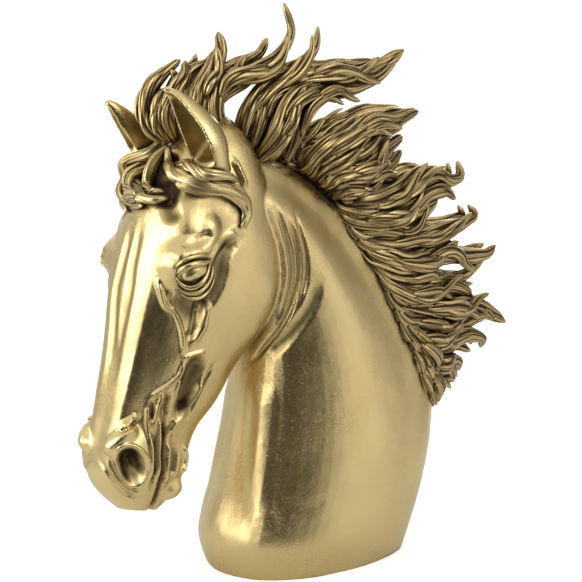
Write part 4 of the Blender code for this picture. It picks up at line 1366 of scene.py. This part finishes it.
def cup_share(points, normals):
    """How far each point faces the middle of an ear's hollow, from 0 to 1."""
    inside = np.zeros(len(points))
    for ear in EARS:
        path = ear_middle(ear)
        near, _, share = close_to(points, path, CUP_REACH)
        line = smooth_line(path, CUP_POINTS)
        inward = line[np.round(share * (CUP_POINTS - 1)).astype(int)] - points[near]
        inward /= np.linalg.norm(inward, axis=1)[:, None] + 1e-6
        facing = np.clip((inward * normals[near]).sum(1) * 1.8 - 0.6, 0, 1)
        inside[near] = np.maximum(inside[near], facing * (1.0 if path[0, 0] > 0 else FAR_CUP))
    return inside


class HORSE_OT_head(bpy.types.Operator):
    """Makes the head, neck and ears with the carving of the skin"""
    bl_idname = "horse.head"
    bl_label = "Head and neck"

    def execute(self, context):
        sizes = context.scene.horse_sizes
        skin, paths = carved_skin(sizes.skin_voxel)
        points = coordinates(skin)
        lifts = sum(uneven(points, size, sizes.unevenness * share, place)
                    for size, share, place in UNEVEN_FORMS)
        set_coordinates(skin, points + vertex_normals(skin) * lifts[:, None])
        smooth_ears(skin)
        mesh = cut_underside(thinned(skin, [path for _, _, path in paths], sizes.skin_triangles))
        points, normals = coordinates(mesh), vertex_normals(mesh)
        # The skin's carved cuts take dark wax, partly patina and partly painted shade, and the ear cups
        # painted shade.
        store(mesh, "groove", np.maximum(sunk_share(points, paths), CUP_SHADE * cup_share(points, normals)))
        shown("head_and_neck", mesh, antique_gold("skin gold", context.scene.horse_finish))
        return {"FINISHED"}


def eye_ball(tree):
    """The near eyeball as (points, faces, values), with a ring round the iris and a dimpled pupil."""
    ends = on_skin(tree, EYE_CORNERS)
    middle = ends.mean(0)
    hit, normal, _, _ = tree.find_nearest(tuple(middle))
    out = np.array(normal)
    along = ends[1] - ends[0]
    along = unit(along - out * (along @ out))
    over = np.cross(out, along)
    centre = np.array(hit) - out * EYE_SUNK
    turn = np.linspace(0, 2 * math.pi, EYE_POINTS, endpoint=False)
    rows = []
    for polar in np.linspace(EYE_POLE, math.pi - EYE_POLE, EYE_RINGS):
        dent = 1 - sum(deep * math.exp(-((polar - at) / wide) ** 2) for deep, at, wide in EYE_DENTS)
        flat = math.sin(polar)
        rows.append(centre + dent * (EYE_RADII[0] * flat * np.cos(turn)[:, None] * along
                                     + EYE_RADII[1] * flat * np.sin(turn)[:, None] * over
                                     + EYE_RADII[2] * math.cos(polar) * out))
    return tube_mesh(rows, [np.zeros(len(turn))] * len(rows))


class HORSE_OT_eyes(bpy.types.Operator):
    """Makes both eyeballs with their lids and wrinkles"""
    bl_idname = "horse.eyes"
    bl_label = "Eyes"

    def execute(self, context):
        tree = coarse_skin(True)
        near = [eye_ball(tree)] + [wisp_tube(on_skin(tree, drawn), width) for width, drawn in EYE_FOLDS]
        far = [(across_head(points), faces, values) for points, faces, values in near]
        shown("eyes", joined("eyes", near + far), antique_gold("skin gold", context.scene.horse_finish))
        return {"FINISHED"}


class HORSE_OT_hollows_and_ridges(bpy.types.Operator):
    """Finds the hollows and ridges of every piece, which the dark wax and painted shade, and the wear and
    painted highlight follow
    """
    bl_idname = "horse.patina"
    bl_label = "Patina and shade"

    def execute(self, context):
        pieces = [o for o in context.scene.objects if o.type == "MESH" and "groove" in o.data.attributes]
        if not pieces:
            raise RuntimeError("make the pieces before their patina")
        points, faces, total = [], [], 0
        for piece in pieces:
            places = coordinates(piece.data)
            points.extend(tuple(p) for p in places)
            faces.extend(tuple(total + i for i in face.vertices) for face in piece.data.polygons)
            total += len(places)
        tree = BVHTree.FromPolygons(points, faces)
        for piece in pieces:
            mesh = piece.data
            reach = SKIN_HOLLOW_REACH if piece.name == "head_and_neck" else HOLLOW_REACH
            hollow = hidden_share(coordinates(mesh), vertex_normals(mesh), tree, reach)
            groove = np.empty(len(mesh.vertices), np.float32)
            mesh.attributes["groove"].data.foreach_get("value", groove)
            # How shut in a point is by all the pieces; the dark wax it brings is partly patina and partly
            # painted shade.
            store(mesh, "hollow", hollow)
            # The ridge value brings the rubbed wear, which is partly a painted highlight.
            store(mesh, "ridge", np.clip(1 - GROOVE_DULL * groove - HOLLOW_DULL * hollow, 0, 1))
        return {"FINISHED"}


def area_light(name, power, way, distance, size):
    """A soft light of a given power, direction, distance and size, aimed at the statue's middle."""
    way = Vector(way).normalized()
    data = bpy.data.lights.new(name, "AREA")
    data.shape = "RECTANGLE"
    data.size, data.size_y = size
    data.energy = power
    light = bpy.data.objects.new(name, data)
    light.location = Vector(SIGHT_TARGET) * UNIT + way * distance
    light.rotation_mode = "QUATERNION"
    light.rotation_quaternion = (-way).to_track_quat("-Z", "Y")
    bpy.context.scene.collection.objects.link(light)


def studio_world(daylight):
    """Even white light, with a room that is darker in places where glossy surfaces mirror it."""
    world = bpy.data.worlds.new("studio")
    world.use_nodes = True
    tree = world.node_tree
    background = tree.nodes["Background"]
    background.inputs["Strength"].default_value = daylight
    ray = tree.nodes.new("ShaderNodeLightPath")
    place = tree.nodes.new("ShaderNodeTexCoord")
    level = None
    for way, start, end, dark in ROOM:
        towards = tree.nodes.new("ShaderNodeVectorMath")
        towards.operation = "DOT_PRODUCT"
        tree.links.new(place.outputs["Generated"], towards.inputs[0])
        towards.inputs[1].default_value = Vector(way).normalized()
        fade = tree.nodes.new("ShaderNodeMapRange")
        fade.interpolation_type = "SMOOTHSTEP"
        for label, value in (("From Min", start), ("From Max", end), ("To Min", 1.0), ("To Max", dark)):
            fade.inputs[label].default_value = value
        tree.links.new(towards.outputs["Value"], fade.inputs["Value"])
        level = fade.outputs[0] if level is None else math_node(tree, "MULTIPLY", level, fade.outputs[0])
    room = mixed(tree, level, DARK_ROOM, LIGHT_ROOM)
    seen = mixed(tree, ray.outputs["Is Glossy Ray"], (1, 1, 1), room)
    tree.links.new(seen, background.inputs["Color"])
    bpy.context.scene.world = world


class HORSE_OT_stage(bpy.types.Operator):
    """Makes the floor, the lights and the camera"""
    bl_idname = "horse.stage"
    bl_label = "Stage"

    def execute(self, context):
        settings = context.scene.horse_stage
        mesh = bpy.data.meshes.new("floor")
        turn = math.radians(SIGHT_TURN)
        front = Vector((math.cos(turn), -math.sin(turn), 0))
        side = Vector((math.sin(turn), math.cos(turn), 0))
        places = [(FLOOR_FRONT, FLOOR_RIGHT), (-FLOOR_SIDE, FLOOR_RIGHT),
                  (-FLOOR_SIDE, -FLOOR_SIDE), (FLOOR_FRONT, -FLOOR_SIDE)]
        corners = [front * ahead + side * aside for ahead, aside in places]
        mesh.from_pydata(corners, [], [(0, 1, 2, 3)])
        floor = bpy.data.objects.new("floor", mesh)
        paint = bpy.data.materials.new("floor")
        paint.use_nodes = True
        shader = paint.node_tree.nodes["Principled BSDF"]
        shader.inputs["Base Color"].default_value = (*settings.floor, 1)
        shader.inputs["Roughness"].default_value = 0.9
        shader.inputs["Emission Color"].default_value = (1, 1, 1, 1)
        ray = paint.node_tree.nodes.new("ShaderNodeLightPath")
        glow = math_node(paint.node_tree, "MULTIPLY", ray.outputs["Is Camera Ray"], settings.glow)
        paint.node_tree.links.new(glow, shader.inputs["Emission Strength"])
        mesh.materials.append(paint)
        context.scene.collection.objects.link(floor)
        studio_world(settings.daylight)
        area_light("key", settings.key, *KEY_LIGHT)
        area_light("top", settings.top, *TOP_LIGHT)
        area_light("rim", settings.rim, *RIM_LIGHT)
        start, _, _, forward = sight()
        data = bpy.data.cameras.new("camera")
        data.sensor_width = 36.0
        data.lens = data.sensor_width * SIGHT_RANGE * SQUARES_PER_UNIT / (2 * PLATE_MIDDLE)
        data.clip_start, data.clip_end = 0.05, 100
        camera = bpy.data.objects.new("camera", data)
        camera.location = start * UNIT
        camera.rotation_mode = "QUATERNION"
        camera.rotation_quaternion = Vector(forward).to_track_quat("-Z", "Y")
        context.scene.collection.objects.link(camera)
        context.scene.camera = camera
        context.scene.view_settings.view_transform = "Standard"
        return {"FINISHED"}


STEPS = (HORSE_OT_eyes, HORSE_OT_forelock, HORSE_OT_mane_top, HORSE_OT_mane_left, HORSE_OT_mane_right,
         HORSE_OT_head, HORSE_OT_hollows_and_ridges, HORSE_OT_stage)


class HORSE_PT_panel(bpy.types.Panel):
    """Lists the steps and the settings of the statue"""
    bl_idname = "HORSE_PT_panel"
    bl_label = "Horse head statue"
    bl_space_type = "VIEW_3D"
    bl_region_type = "UI"
    bl_category = "Statue"

    def draw(self, context):
        for settings in (context.scene.horse_sizes, context.scene.horse_finish, context.scene.horse_stage):
            box = self.layout.box()
            for name in settings.__annotations__:
                box.prop(settings, name)
        for step in STEPS:
            self.layout.operator(step.bl_idname)


CLASSES = (HorseSizes, HorseFinish, HorseStage, *STEPS, HORSE_PT_panel)


def register():
    for each in CLASSES:
        bpy.utils.register_class(each)
    bpy.types.Scene.horse_sizes = PointerProperty(type=HorseSizes)
    bpy.types.Scene.horse_finish = PointerProperty(type=HorseFinish)
    bpy.types.Scene.horse_stage = PointerProperty(type=HorseStage)


def unregister():
    for name in ("horse_sizes", "horse_finish", "horse_stage"):
        delattr(bpy.types.Scene, name)
    for each in reversed(CLASSES):
        bpy.utils.unregister_class(each)


def main():
    register()
    bpy.ops.horse.eyes()
    bpy.ops.horse.forelock()
    bpy.ops.horse.mane_top()
    bpy.ops.horse.mane_left()
    bpy.ops.horse.mane_right()
    bpy.ops.horse.head()
    bpy.ops.horse.patina()
    bpy.ops.horse.stage()


if __name__ == "__main__":
    main()
